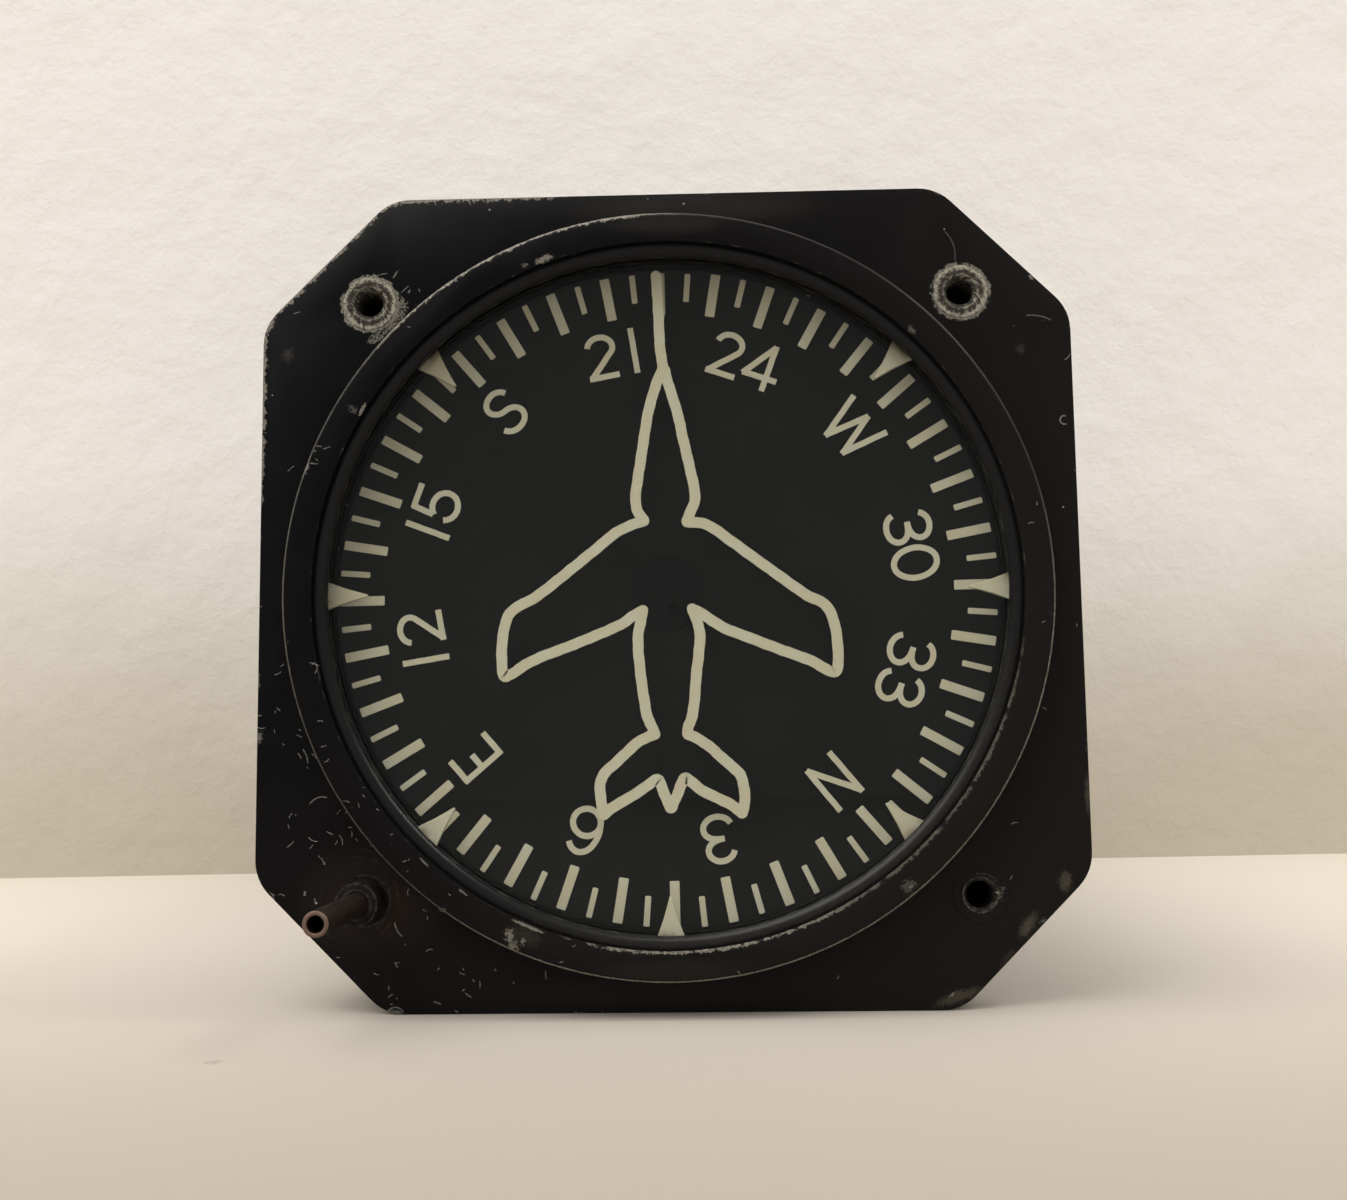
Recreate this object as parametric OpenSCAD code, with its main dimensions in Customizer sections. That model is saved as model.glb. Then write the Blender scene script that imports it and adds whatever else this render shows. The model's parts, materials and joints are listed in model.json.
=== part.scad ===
// Directional gyro indicator for a standard round aircraft panel cut-out.
// The origin is on the dial axis at the front face of the flange. -Y points at the pilot,
// +X is the right of the dial and +Z is up. All lengths are millimetres.

/* [Flange] */
// Thickness of the flange
flange_t = 4.8; // [4:0.1:7]
// From the wall of the bezel out to the middles of the mounting holes
mount_gap = 5.1; // [5:0.05:6]
// From the middles of the mounting holes out to the flat sides of the flange
side_margin = 11.42; // [10.5:0.01:13]
// From the middles of the mounting holes out to the clipped corners
corner_margin = 6.53; // [6.45:0.01:7.5]
// Radius of the eight rounded corners of the outline
corner_round = 5; // [1:0.5:6]
// Radius of the tapped mounting holes
mount_hole_r = 1.35; // [1.2:0.05:1.6]
// Outer radius of the mounting inserts
insert_r = 2.9; // [2.4:0.1:3.2]
// Depth of the countersink in each insert
insert_sink = 0.4; // [0.2:0.1:0.8]
// How far the closed end of each insert stands behind the flange
insert_tail = 4.2; // [2:0.2:8]
// Thickness of that closed end
insert_end_t = 0.8; // [0.5:0.1:1.5]

/* [Bezel] */
// Outer radius of the round bezel, which fills the panel cut-out
bezel_r = 39.35; // [38.8:0.05:39.6]
// Height of the bezel in front of the flange
bezel_h = 4; // [3.6:0.1:6]
// Wall of the bezel round the bore that holds the glass
bezel_wall = 3.15; // [2.35:0.05:3.5]
// Worn chamfer on the outer edge of the bezel
bezel_edge = 0.35; // [0.1:0.05:0.6]

/* [Glass] */
// Depth of the glass below the front of the bezel
glass_inset = 2.2; // [1.9:0.1:2.8]
// Thickness of the cover glass
glass_t = 1.6; // [1:0.1:2]
// Radius of the wire of the retaining ring
ring_wire_r = 0.85; // [0.6:0.05:0.9]
// How deep the retaining ring sits in the wall of the bore
ring_seat = 0.35; // [0.2:0.05:0.5]
// Thickness of the dial mask behind the glass
mask_t = 0.4; // [0.3:0.05:0.8]
// How far the dial mask reaches in from the wall of the bore
mask_reach = 0.7; // [0.5:0.05:1.1]
// Thickness of the glass gasket
gasket_t = 0.6; // [0.4:0.1:1.2]
// Thickness of the lip that the gasket rests on
lip_t = 0.6; // [0.5:0.1:1.2]
// How far that lip reaches in from the wall of the bore
lip_reach = 1.2; // [1.1:0.05:1.4]

/* [Fixed marks] */
// Thickness of the printed marks on the glass
print_t = 0.1; // [0.05:0.05:0.2]
// Width of the aircraft outline and the lubber line
symbol_w = 1.1; // [0.8:0.05:1.4]
// Gap between the dial mask and the top of the lubber line
lubber_gap = 1.4; // [1:0.1:3.5]
// Base width of each index pointer
pointer_w = 2.9; // [2:0.1:3.4]
// Length of the tapered part of each index pointer
pointer_l = 4.2; // [3.4:0.1:5.4]

/* [Compass card] */
// How far the card reaches out behind the lip
card_lap = 0.2; // [0.05:0.05:0.4]
// Thickness of the card
card_t = 0.8; // [0.6:0.1:1.2]
// Gap between the lip and the card
card_gap = 0.5; // [0.3:0.1:0.9]
// Running gap round the edge of the card
card_clear = 0.6; // [0.5:0.1:1]
// Heading that stands under the lubber line, in degrees
card_heading = 220.7; // [0:0.1:359.9]
// Thickness of the printed marks on the card
mark_t = 0.12; // [0.05:0.01:0.2]
// Gap between the heading marks and the edge of the card
tick_gap = 0.6; // [0.4:0.1:1.2]
// Length of the marks at every ten degrees
major_l = 4.65; // [3.5:0.05:5.2]
// Width of the marks at every ten degrees
major_w = 1; // [0.7:0.05:1.2]
// Length of the marks between them
minor_l = 3.1; // [2:0.05:4]
// Width of the marks between them
minor_w = 0.62; // [0.4:0.02:0.8]
// Height of the figures
figure_h = 4.9; // [4:0.1:5.2]
// Width of the strokes of the figures
figure_w = 0.72; // [0.5:0.02:0.9]
// From the inner ends of the long marks in to the middles of the figures
figure_gap = 3.85; // [3.35:0.05:4.95]
// Radius of the disc at the middle of the card
hub_disc_r = 3.9; // [3.2:0.1:5]

/* [Case] */
// Wall of the barrel
case_wall = 2.5; // [2:0.1:3]
// Length of the barrel behind the front face of the flange
barrel_l = 108; // [104:1:130]
// Thickness of the rear cover
cover_t = 4; // [3:0.5:6]
// Thickness of the rear gasket
rear_gasket_t = 0.8; // [0.5:0.1:1.5]
// Radius of the bosses for the cover screws
boss_r = 3.2; // [2.8:0.1:4]
// Length of the bosses for the cover screws
boss_l = 9; // [7:0.5:12]

/* [Adjuster] */
// Outer radius of the hollow adjuster shaft
shaft_r = 1.2; // [1:0.05:1.3]
// Bore radius of the adjuster shaft
shaft_bore_r = 0.8; // [0.5:0.05:0.9]
// How far the shaft stands in front of the flange
shaft_out = 18; // [14:0.5:24]
// Depth of the groove at the back of the seat for the knob
knob_groove = 0.2; // [0.2:0.01:0.25]
// Travel of the shaft when it is pushed in
push_travel = 3; // [2:0.5:4]
// How far the bush stands in front of the flange
bush_nose = 3.6; // [2:0.1:4.5]
// Radius of the nose of the bush
bush_nose_r = 2.2; // [1.8:0.05:2.4]
// Radius of the collar of the bush
bush_collar_r = 2.7; // [2.5:0.05:3.2]
// Length of the return spring at rest
spring_l = 6; // [5:0.5:8]
// Radius of the spring wire
spring_wire_r = 0.17; // [0.12:0.01:0.2]
// Number of turns of the return spring
spring_turns = 5; // [4:1:6]

/* [Setting gears] */
// Teeth of the setting gear on the card spindle
setting_teeth = 81; // [79:1:83]
// Teeth of the idler gear
idler_teeth = 10; // [10:1:11]
// Teeth of the clutch gear
clutch_teeth = 10; // [9:1:10]
// Thickness of the setting gears
gear_t = 2.2; // [1.6:0.1:3]

/* [Gyro] */
// Radius of the rotor
rotor_r = 19; // [17:0.5:20]
// Width of the rotor
rotor_w = 19; // [16:0.5:20]
// Number of air buckets round the rotor
bucket_count = 24; // [18:1:28]
// Wall of both gimbal rings
ring_t = 3.2; // [3:0.1:3.6]
// Width of the inner gimbal ring
inner_w = 7; // [6:0.5:8]
// Width of the outer gimbal ring
outer_w = 8; // [7:0.5:9]
// Teeth of each bevel gear
bevel_teeth = 48; // [44:2:52]
// Length of the bevel teeth
bevel_face = 4.4; // [3.5:0.1:5]
// Radius of the rotor shaft and the vertical pivots
pivot_r = 1.5; // [1.2:0.1:1.8]

/* [Rear fittings] */
// Outer radius of the vacuum nipple, for a hose
nipple_r = 4.75; // [4.5:0.05:5.2]
// Bore radius of the vacuum nipple
nipple_bore_r = 3; // [2.4:0.1:3.4]
// Length of the nipple behind its hexagon
nipple_l = 11; // [9:0.5:16]
// Outer radius of the filter housing
filter_r = 16; // [15:0.5:17]
// Depth of the filter housing
filter_l = 9; // [8:0.5:14]
// Height of the filter housing above the dial axis
filter_z = 20; // [19:0.5:21]

/* [Hidden] */
$fn = 96;
over = 1;
fit = 0.05;

// Gyro, outwards from its centre
rotor_rim_t = 4.5;
rotor_hub_r = 4;
recess_t = 4;
bucket_l = 9;
bucket_r = 1.7;
rotor_reach = norm([rotor_r, rotor_w / 2]);
inner_in_r = rotor_reach + 0.8;
inner_out_r = inner_in_r + ring_t;
inner_reach = norm([inner_out_r, inner_w / 2]) + 0.06;
outer_in_r = inner_reach + 0.5;
outer_out_r = outer_in_r + ring_t;
outer_reach = norm([outer_out_r, outer_w / 2]);
bevel_in = outer_reach + 0.75;
bevel_out = bevel_in + bevel_face;
disc_top = inner_reach + 0.3;
disc_bottom = disc_top + 1.4;
web_t = 1.2;
web_bottom = disc_bottom + web_t;
dish_in = outer_reach + 0.9;
dish_out = dish_in + web_t;
rim_t = 2;
bevel_tooth_out = 0.6;
bevel_tooth_in = 0.75;
web_r = (bevel_out - bevel_tooth_in - rim_t) / sqrt(2) - 1.4;
gyro_reach = norm([web_r, web_bottom]);

// Flange: its half width, and the middles of its corner arcs, out from the axis and along a side
insert_gap = 0.9;
gyro_wall_r = gyro_reach + 2.6;
mount_r = max(bezel_r + mount_gap, gyro_wall_r + case_wall + insert_gap + insert_r);
insert_back = flange_t + insert_tail;
half_w = mount_r / sqrt(2) + side_margin;
corner_out = half_w - corner_round;
corner_along = (mount_r + corner_margin - corner_round) * sqrt(2) - corner_out;

// Radii of the dial, each from the next one out
bezel_bore_r = bezel_r - bezel_wall;
mask_in_r = bezel_bore_r - mask_reach;
lip_r = bezel_bore_r - lip_reach;
card_r = lip_r + card_lap;
tick_r = card_r - tick_gap;
figure_r = tick_r - major_l - figure_gap;
lubber_top = mask_in_r - lubber_gap;
pointer_foot = 0.1;
pointer_base_r = mask_in_r - pointer_foot;
pointer_tip_r = pointer_base_r - pointer_l;

// Stack behind the bezel, from front to back
glass_front = -bezel_h + glass_inset;
glass_back = glass_front + glass_t;
glass_r = bezel_bore_r - fit;
ring_mid_r = bezel_bore_r + ring_seat - ring_wire_r;
mask_back = glass_back + mask_t;
seat_y = mask_back + gasket_t;
lip_back = seat_y + lip_t;
card_front = lip_back + card_gap;
card_back = card_front + card_t;
dial_cavity_r = card_r + card_clear;

// Aircraft outline, right half, as strokes of points across and up the dial
nose_side = [[0, 23.1], [0.9, 20.7], [1.7, 17.4], [2.4, 13.8], [3, 10.2], [2.9, 8.4], [2.3, 7.2]];
wing = [[2.3, 7.2], [4.2, 6.9], [6.4, 5.2], [13.6, -0.3], [15.9, -1.7], [17, -3.1], [17.4, -6.2],
    [17.3, -8.1], [16.6, -8.7], [14.4, -7.4], [9.5, -5.4], [6, -4.1], [2.7, -1.9]];
body_side = [[2.7, -1.9], [3.1, -4.8], [3, -7.6], [2.7, -11], [2.4, -13.3], [1.7, -14.6]];
tail = [[1.7, -14.6], [2.4, -15], [3.6, -15.8], [5.3, -17.3], [6.9, -18.6], [7.4, -20.1],
    [7.6, -21.8], [7, -22.6], [5.9, -22], [4, -21], [2.2, -19.6], [1.4, -19.2]];
tail_cone = [[1.4, -19.2], [0.8, -20.6], [0, -22.2]];
lubber_lean = 0.4;

dimple_at = [0.6, -1.7];
dimple_r = 0.55;
card_bush_r = 2.5;

// Stack on the adjuster shaft, from front to back
bush_back = flange_t + 1.2;
collar_t = 0.6;
clip_y = bush_back + 0.2;
clip_t = 0.6;
clip_r = 2.5;
clip_groove = 0.25;
knob_gap = 0.1;
knob_groove_w = 0.6;
washer_y = clip_y + clip_t;
washer_t = 0.6;
washer_r = 2.6;
spring_y = washer_y + washer_t;
seat_plate_y = spring_y + spring_l;
seat_plate_t = 1;
disc_y = seat_plate_y + seat_plate_t + 0.6;
disc_t = 1.4;
disc_r = 3.8;
facing_y = disc_y + disc_t;
facing_t = 0.6;
shaft_end = facing_y + facing_t;
gear_gap = 0.1;
gear_y = shaft_end + push_travel + gear_gap;
gear_back = gear_y + gear_t;
cap_y = gear_back + 0.3;
cap_t = 3.4;
journal_r = 1.5;
housing_end = cap_y + cap_t;

// Setting gears, all in one line from the dial axis to the adjuster shaft
gear_mod = 2 * mount_r / (setting_teeth + 2 * idler_teeth + clutch_teeth);
idler_dist = gear_mod * (setting_teeth + idler_teeth) / 2;
tooth_out = 0.8 * gear_mod;
tooth_in = 1.1 * gear_mod;
clutch_tip_r = gear_mod * clutch_teeth / 2 + tooth_out;
idler_tip_r = gear_mod * idler_teeth / 2 + tooth_out;
setting_tip_r = gear_mod * setting_teeth / 2 + tooth_out;
stud_r = 1;
stud_post_r = 1.4;
stud_head_r = 1.5;
housing_cavity_r = clutch_tip_r + 0.36;
housing_r = housing_cavity_r + 1.4;
web_half = housing_cavity_r + 0.6;
pocket_r = idler_tip_r + 0.4;
adjuster_dir = 225;
idler_phase = 180 - (setting_teeth * -adjuster_dir + 180) / idler_teeth + adjuster_dir;
clutch_phase = 180 - (idler_teeth * (idler_phase - adjuster_dir) + 180) / clutch_teeth + adjuster_dir;

// Card bracket and spindle
bracket_t = 2;
bracket_back = gear_y - 4.1;
bracket_y = bracket_back - bracket_t;
bearing_w = 2.5;
bearing_r = 4;
hub_front = card_back + 1.8;
hub_back = bracket_back + 1.5;
hub_r = 6;
spindle_r = 1.5;
small_screw_r = 0.7;
screw_head_r = 1.2;
bracket_screw_r = dial_cavity_r + small_screw_r + 0.2;
bracket_screw_l = 5;
small_head_t = 0.9;
window_dist = 20.5;
window_r = 7;

// Cavity behind the dial, where it turns
stud_reach = idler_dist + stud_post_r;
screw_reach = bracket_screw_r + screw_head_r;
cavity_r = max(gyro_wall_r, stud_reach + 0.15, screw_reach + 0.1, setting_tip_r + 1.5);
case_r = cavity_r + case_wall;
gyro_y = gear_back + 1.1 + dish_out;
card_hub_r = 4;
dish_flat_r = 11;

// Disc, hubs, screws and nozzles of the outer gimbal
pivot_hub_r = 4.95;
gear_disc_r = 13.5;
gear_screw_dist = 10;
gear_screw_l = 2.2;
nozzle_x = 7;
nozzle_r = 1.1;
nozzle_bore_r = 0.5;

// Vertical pivots and their blocks
hub_reach = outer_out_r + 0.4;
pivot_bearing_r = 4.5;
pivot_bearing_z = hub_reach + 2.2;
pivot_bearing_w = 3;
pivot_end = pivot_bearing_z + pivot_bearing_w + 0.6;
block_z = pivot_bearing_z - 0.4;
block_r = 7;
block_screw_x = 5;
block_screw_l = 4;
block_head_r = 2.2;
block_head_t = 1.3;
head_sink = 0.9;
tube_r = 1.4;
tube_z = hub_reach + tube_r + 2;

// Level pivots
tilt_pin_r = 1.2;
tilt_bearing_r = 3;
tilt_boss_r = 4.6;
tilt_boss_in = inner_reach + 0.3;
tilt_boss_out = outer_out_r - 0.2;
tilt_bearing_w = 2;

// Rotor bearings in the inner gimbal
rotor_boss_r = 4.6;
rotor_boss_out = inner_out_r - 0.8;
rotor_bearing_r = 3.6;
rotor_bearing_in = inner_in_r - 0.8;
rotor_bearing_w = 2.2;

// Bevel gear tooth, sized at its inner end
bevel_pitch = 2 * PI * bevel_in / sqrt(2) / bevel_teeth;

// Rear end
cover_y = barrel_l + rear_gasket_t;
cover_back = cover_y + cover_t;
cover_screw_dist = cavity_r - boss_r + 1.2;
cover_screw_r = 1.25;
cover_screw_l = 10;
cover_head_r = 2.4;
cover_head_t = 1.6;
filter_screw_l = 6;
plug_r = 4;
nipple_z = -16;
hex_t = 5;
hex_r = 8.2;
thread_r = 4.4;
barb_l = 1.6;
barb_h = 0.2;
tip_chamfer = 0.4;
filter_wall = 1.5;
filter_floor = 1.2;
filter_back = cover_back + filter_l;
post_r = 3;
filter_cap_t = 1.2;

// Colours
enamel = [0.05, 0.05, 0.055];
cream = [0.78, 0.75, 0.6];
steel = [0.6, 0.61, 0.63];
brass = [0.72, 0.56, 0.28];
alloy = [0.7, 0.71, 0.72];

// A cylinder along Y from y0 to y1
module y_cylinder(y0, y1, r) {
    translate([0, y0, 0]) rotate([-90, 0, 0]) cylinder(h = y1 - y0, r = r);
}

// A tube along Y
module y_tube(y0, y1, r_out, r_in) {
    difference() {
        y_cylinder(y0, y1, r_out);
        y_cylinder(y0 - over, y1 + over, r_in);
    }
}

// A profile of radius and Y, turned about the Y axis
module y_turned(profile) {
    rotate([-90, 0, 0]) rotate_extrude() polygon(profile);
}

// Children moved to a distance and a direction from the dial axis
module polar(dist, dir) {
    translate([dist * cos(dir), 0, dist * sin(dir)]) children();
}

module at_adjuster() {
    polar(mount_r, adjuster_dir) children();
}

module at_mounts() {
    for (dir = [45, 135, 315]) polar(mount_r, dir) children();
}

module at_idler() {
    polar(idler_dist, adjuster_dir) children();
}

module at_gyro() {
    translate([0, gyro_y, 0]) children();
}

// A flat drawing across and up the dial, from y_back forwards by t
module dial_print(y_back, t) {
    translate([0, y_back, 0]) rotate([90, 0, 0]) linear_extrude(t) children();
}

// Outline of a stroke of width w along points p, with round ends
function unit(v) = v / norm(v);
function left_of(v) = [-v[1], v[0]];
function dir_in(p, i) = unit(p[max(i, 1)] - p[max(i, 1) - 1]);
function dir_out(p, i) = unit(p[min(i, len(p) - 2) + 1] - p[min(i, len(p) - 2)]);
function mitre(p, i) =
    let (n = left_of(dir_in(p, i)), m = unit(n + left_of(dir_out(p, i))))
    m / max(m * n, 0.6);
function stroke_side(p, w, s) = [for (i = [0 : len(p) - 1]) p[i] + s * w / 2 * mitre(p, i)];
function round_end(c, d, w) =
    [for (a = [50 : -50 : -50]) c + w / 2 * (cos(a) * d + sin(a) * left_of(d))];
function back_to_front(p) = [for (i = [len(p) - 1 : -1 : 0]) p[i]];
function stroke_outline(p, w) = concat(
    stroke_side(p, w, 1),
    round_end(p[len(p) - 1], dir_out(p, len(p) - 1), w),
    back_to_front(stroke_side(p, w, -1)),
    round_end(p[0], -dir_in(p, 0), w));

module stroke(p, w) {
    polygon(stroke_outline(p, w));
}

// Points of an arc, counterclockwise when a1 is over a0
function arc(x, y, r, a0, a1, n) =
    [for (i = [0 : n]) [x + r * cos(a0 + (a1 - a0) * i / n), y + r * sin(a0 + (a1 - a0) * i / n)]];

// Strokes of each figure in a box one unit high, and the width of the box
function figure_strokes(c) =
    c == "0" ? [] :
    c == "1" ? [[[0.1, 0], [0.1, 1]]] :
    c == "2" ? [concat(arc(0.29, 0.71, 0.29, 165, -38, 7), [[0, 0]]), [[0, 0], [0.6, 0]]] :
    c == "3" ? [arc(0.26, 0.755, 0.245, 150, -90, 7), arc(0.26, 0.255, 0.255, 90, -150, 7)] :
    c == "4" ? [[[0.46, 0], [0.46, 1]], [[0.46, 1], [0, 0.28]], [[0, 0.28], [0.62, 0.28]]] :
    c == "5" ? [[[0.5, 1], [0.12, 1], [0.06, 0.53]], arc(0.25, 0.32, 0.32, 125, -140, 8)] :
    c == "6" ? [[[0.44, 1], [0.22, 0.82], [0.08, 0.6], [0.03, 0.35]]] :
    c == "N" ? [[[0, 0], [0, 1]], [[0, 1], [0.62, 0]], [[0.62, 0], [0.62, 1]]] :
    c == "E" ? [[[0.52, 1], [0, 1], [0, 0], [0.52, 0]], [[0, 0.52], [0.44, 0.52]]] :
    c == "S" ? [concat(arc(0.28, 0.745, 0.255, 25, 255, 7), arc(0.28, 0.255, 0.255, 75, -155, 7))] :
    [[[0, 1], [0.22, 0]], [[0.22, 0], [0.44, 0.9]], [[0.44, 0.9], [0.66, 0]], [[0.66, 0], [0.88, 1]]];
function figure_width(c) =
    c == "1" ? 0.2 : c == "W" ? 0.88 : c == "N" ? 0.62 : c == "0" ? 0.58 : c == "E" ? 0.52 : 0.58;

// A closed loop drawn as a ring: middle, half width and half height
function figure_loop(c) =
    c == "0" ? [0.29, 0.5, 0.29, 0.5] : c == "6" ? [0.29, 0.29, 0.29, 0.29] : [];

// One figure with its left foot at the origin
module figure(c) {
    rise = figure_h - figure_w;
    for (s = figure_strokes(c)) stroke(rise * s, figure_w);
    loop = figure_loop(c);
    if (len(loop) > 0) translate(rise * [loop[0], loop[1]]) difference() {
        polygon([for (a = [0 : 15 : 345])
            [(rise * loop[2] + figure_w / 2) * cos(a), (rise * loop[3] + figure_w / 2) * sin(a)]]);
        polygon([for (a = [0 : 15 : 345])
            [(rise * loop[2] - figure_w / 2) * cos(a), (rise * loop[3] - figure_w / 2) * sin(a)]]);
    }
}

// A word of one or two figures, centred on the origin
module word(w) {
    rise = figure_h - figure_w;
    gap = 0.32;
    first = figure_width(w[0]);
    total = len(w) == 2 ? first + gap + figure_width(w[1]) : first;
    translate([-rise * total / 2, -rise / 2]) {
        figure(w[0]);
        if (len(w) == 2) translate([rise * (first + gap), 0]) figure(w[1]);
    }
}

// Flat outline of a spur gear with straight flanks and room between the teeth
function tooth_points(n, phase, r_root, r_tip, half_root, half_tip) = [
    for (i = [0 : n - 1], k = [0 : 3])
        let (a = phase + 360 * i / n + [-half_root, -half_tip, half_tip, half_root][k] * 360 / n,
            r = (k == 0 || k == 3) ? r_root : r_tip)
        [r * cos(a), r * sin(a)]];

// A spur gear between y0 and y1 about the Y axis through its own centre
module spur_gear(teeth, phase, y0, y1, bore_r) {
    pitch_r = gear_mod * teeth / 2;
    difference() {
        translate([0, y1, 0]) rotate([90, 0, 0]) linear_extrude(y1 - y0)
            polygon(tooth_points(teeth, phase, pitch_r - tooth_in, pitch_r + tooth_out, 0.27, 0.1));
        y_cylinder(y0 - over, y1 + over, bore_r);
    }
}

// Toothed rim of a bevel gear about +Z with its apex at the origin; a pitch cone of 45 degrees
module bevel_teeth_ring(phase) {
    tooth_half = 0.2 * bevel_pitch;
    step = bevel_tooth_out + bevel_tooth_in;
    for (i = [0 : bevel_teeth - 1])
        rotate([0, 0, phase + 360 * i / bevel_teeth])
            rotate([0, 45, 0])
                translate([0, 0, bevel_in])
                    linear_extrude(bevel_face)
                        polygon([
                            [-bevel_tooth_in - 0.3, -tooth_half * 1.35],
                            [bevel_tooth_out, -tooth_half * 0.6],
                            [bevel_tooth_out, tooth_half * 0.6],
                            [-bevel_tooth_in - 0.3, tooth_half * 1.35]]);
}

// Radius and height of a point at cone distance d, sunk by s below the pitch cone
function cone_point(d, s) = [(d - s) / sqrt(2), (d + s) / sqrt(2)];
rim_in_front = cone_point(bevel_in, bevel_tooth_in);
rim_out_front = cone_point(bevel_out, bevel_tooth_in);
rim_out_back = cone_point(bevel_out, bevel_tooth_in + rim_t);
rim_in_back = cone_point(bevel_in, bevel_tooth_in + rim_t);

module case() color(enamel) {
    difference() {
        union() {
            difference() {
                union() {
                    flange_plate();
                    y_turned([[0, -bezel_h], [bezel_r - bezel_edge, -bezel_h],
                        [bezel_r, -bezel_h + bezel_edge], [bezel_r, over], [0, over]]);
                    y_cylinder(over, barrel_l, case_r);
                    at_adjuster() y_cylinder(over, housing_end, housing_r);
                    rotate([0, -adjuster_dir, 0])
                        translate([case_r - 4, over, -web_half])
                            cube([mount_r - case_r + 4, cap_y - over, 2 * web_half]);
                }
                y_cylinder(lip_back, bracket_y + over, dial_cavity_r);
                y_cylinder(bracket_y, barrel_l + over, cavity_r);
            }
            intersection() {
                for (dir = [0 : 60 : 300])
                    polar(cover_screw_dist, dir) y_cylinder(barrel_l - boss_l, barrel_l, boss_r);
                y_cylinder(barrel_l - boss_l - over, barrel_l + over, case_r - 0.5);
            }
        }
        y_cylinder(-bezel_h - over, seat_y, bezel_bore_r);
        y_cylinder(seat_y - over, lip_back + over, lip_r);
        retaining_ring_shape();
        at_mounts() y_cylinder(-over, flange_t + over, insert_r);
        at_adjuster() y_cylinder(-over, flange_t + over, bush_nose_r);
        at_adjuster() y_cylinder(-over, collar_t, bush_collar_r);
        at_adjuster() y_cylinder(flange_t, housing_end + over, housing_cavity_r);
        at_idler() y_cylinder(gear_y - 0.5, gear_back + 0.5, pocket_r);
        for (dir = [0 : 60 : 300])
            polar(cover_screw_dist, dir)
                y_cylinder(cover_back - cover_screw_l - 0.8, barrel_l + over, cover_screw_r);
        for (dir = [30, 150, 270])
            polar(bracket_screw_r, dir)
                y_cylinder(bracket_back - bracket_screw_l - 1, bracket_y + over, small_screw_r);
        for (s = [-1, 1], x = [-block_screw_x, block_screw_x])
            translate([x, gyro_y, 0]) scale_z(s) {
                translate([0, 0, cavity_r - 3]) cylinder(h = case_wall + 4, r = cover_screw_r);
                translate([0, 0, case_r - head_sink]) cylinder(h = 3, r = block_head_r + 0.3);
            }
    }
}

// Children kept for s = 1 and mirrored upside down for s = -1
module scale_z(s) {
    if (s > 0) children(); else mirror([0, 0, 1]) children();
}

module flange_plate() {
    translate([0, flange_t, 0]) rotate([90, 0, 0]) linear_extrude(flange_t)
        polygon([for (turn = [0 : 90 : 270], side = [-1, 1], step = [0 : 7.5 : 45])
            let (a = turn + step - (side < 0 ? 45 : 0))
            [corner_out * cos(turn) - side * corner_along * sin(turn) + corner_round * cos(a),
                corner_out * sin(turn) + side * corner_along * cos(turn) + corner_round * sin(a)]]);
}

module mount_inserts() color(alloy) {
    at_mounts() difference() {
        y_cylinder(0, insert_back, insert_r);
        y_cylinder(-over, insert_back - insert_end_t, mount_hole_r);
        y_turned([[0, -over], [mount_hole_r + insert_sink + over, -over],
            [mount_hole_r, insert_sink], [0, insert_sink]]);
    }
}

module retaining_ring_shape() {
    translate([0, glass_front - ring_wire_r, 0]) rotate([-90, 0, 0])
        rotate_extrude() translate([ring_mid_r, 0]) circle(r = ring_wire_r, $fn = 24);
}

module retaining_ring() color([0.16, 0.16, 0.16]) retaining_ring_shape();

module cover_glass() color([0.7, 0.75, 0.75, 0.3]) y_cylinder(glass_front, glass_back, glass_r);

module aircraft_symbol() color(cream) {
    dial_print(glass_back + print_t, print_t) {
        for (side = [0, 1]) mirror([side, 0])
            for (p = [nose_side, wing, body_side, tail, tail_cone]) stroke(p, symbol_w);
        stroke([nose_side[0], [-lubber_lean, lubber_top - symbol_w / 2]], symbol_w * 0.9);
    }
}

module index_pointers() color(cream) {
    intersection() {
        for (dir = [45 : 45 : 315])
            dial_print(mask_back, mask_t) rotate(-dir)
                polygon([[-pointer_w / 2, pointer_base_r], [0, pointer_tip_r],
                    [pointer_w / 2, pointer_base_r], [pointer_w / 2, mask_in_r + over],
                    [-pointer_w / 2, mask_in_r + over]]);
        y_cylinder(glass_back - over, mask_back + over, mask_in_r);
    }
}

module dial_mask() color(enamel) y_tube(glass_back, mask_back, glass_r, mask_in_r);

module glass_gasket() color([0.1, 0.1, 0.1]) y_tube(mask_back, seat_y, glass_r, lip_r + 0.2);

module compass_card() color([0.06, 0.065, 0.07]) {
    y_tube(card_front, card_back, card_r, card_bush_r);
}

module card_markings() color(cream) {
    dial_print(card_front, mark_t) {
        for (h = [0 : 10 : 350]) rotate(card_heading - h) {
            translate([-major_w / 2, tick_r - major_l]) square([major_w, major_l]);
            rotate(-5) translate([-minor_w / 2, tick_r - minor_l]) square([minor_w, minor_l]);
        }
        words = ["N", "3", "6", "E", "12", "15", "S", "21", "24", "W", "30", "33"];
        for (i = [0 : 11])
            rotate(card_heading - 30 * i) translate([0, figure_r]) word(words[i]);
    }
}

module card_hub() color([0.08, 0.08, 0.085]) {
    difference() {
        union() {
            y_cylinder(card_front - 0.15, card_front, hub_disc_r);
            y_cylinder(card_front - 0.15, hub_front - 0.2, card_bush_r);
        }
        y_cylinder(card_front + 0.5, hub_front, spindle_r);
        translate([dimple_at[0], 0, dimple_at[1]])
            y_cylinder(card_front - over, card_front + 0.3, dimple_r);
    }
}

module card_spindle() color(steel) {
    y_cylinder(card_front + 0.5, gyro_y - dish_in - 0.1, spindle_r);
    y_cylinder(hub_back + 0.2, gear_y, card_bush_r);
}

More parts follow.
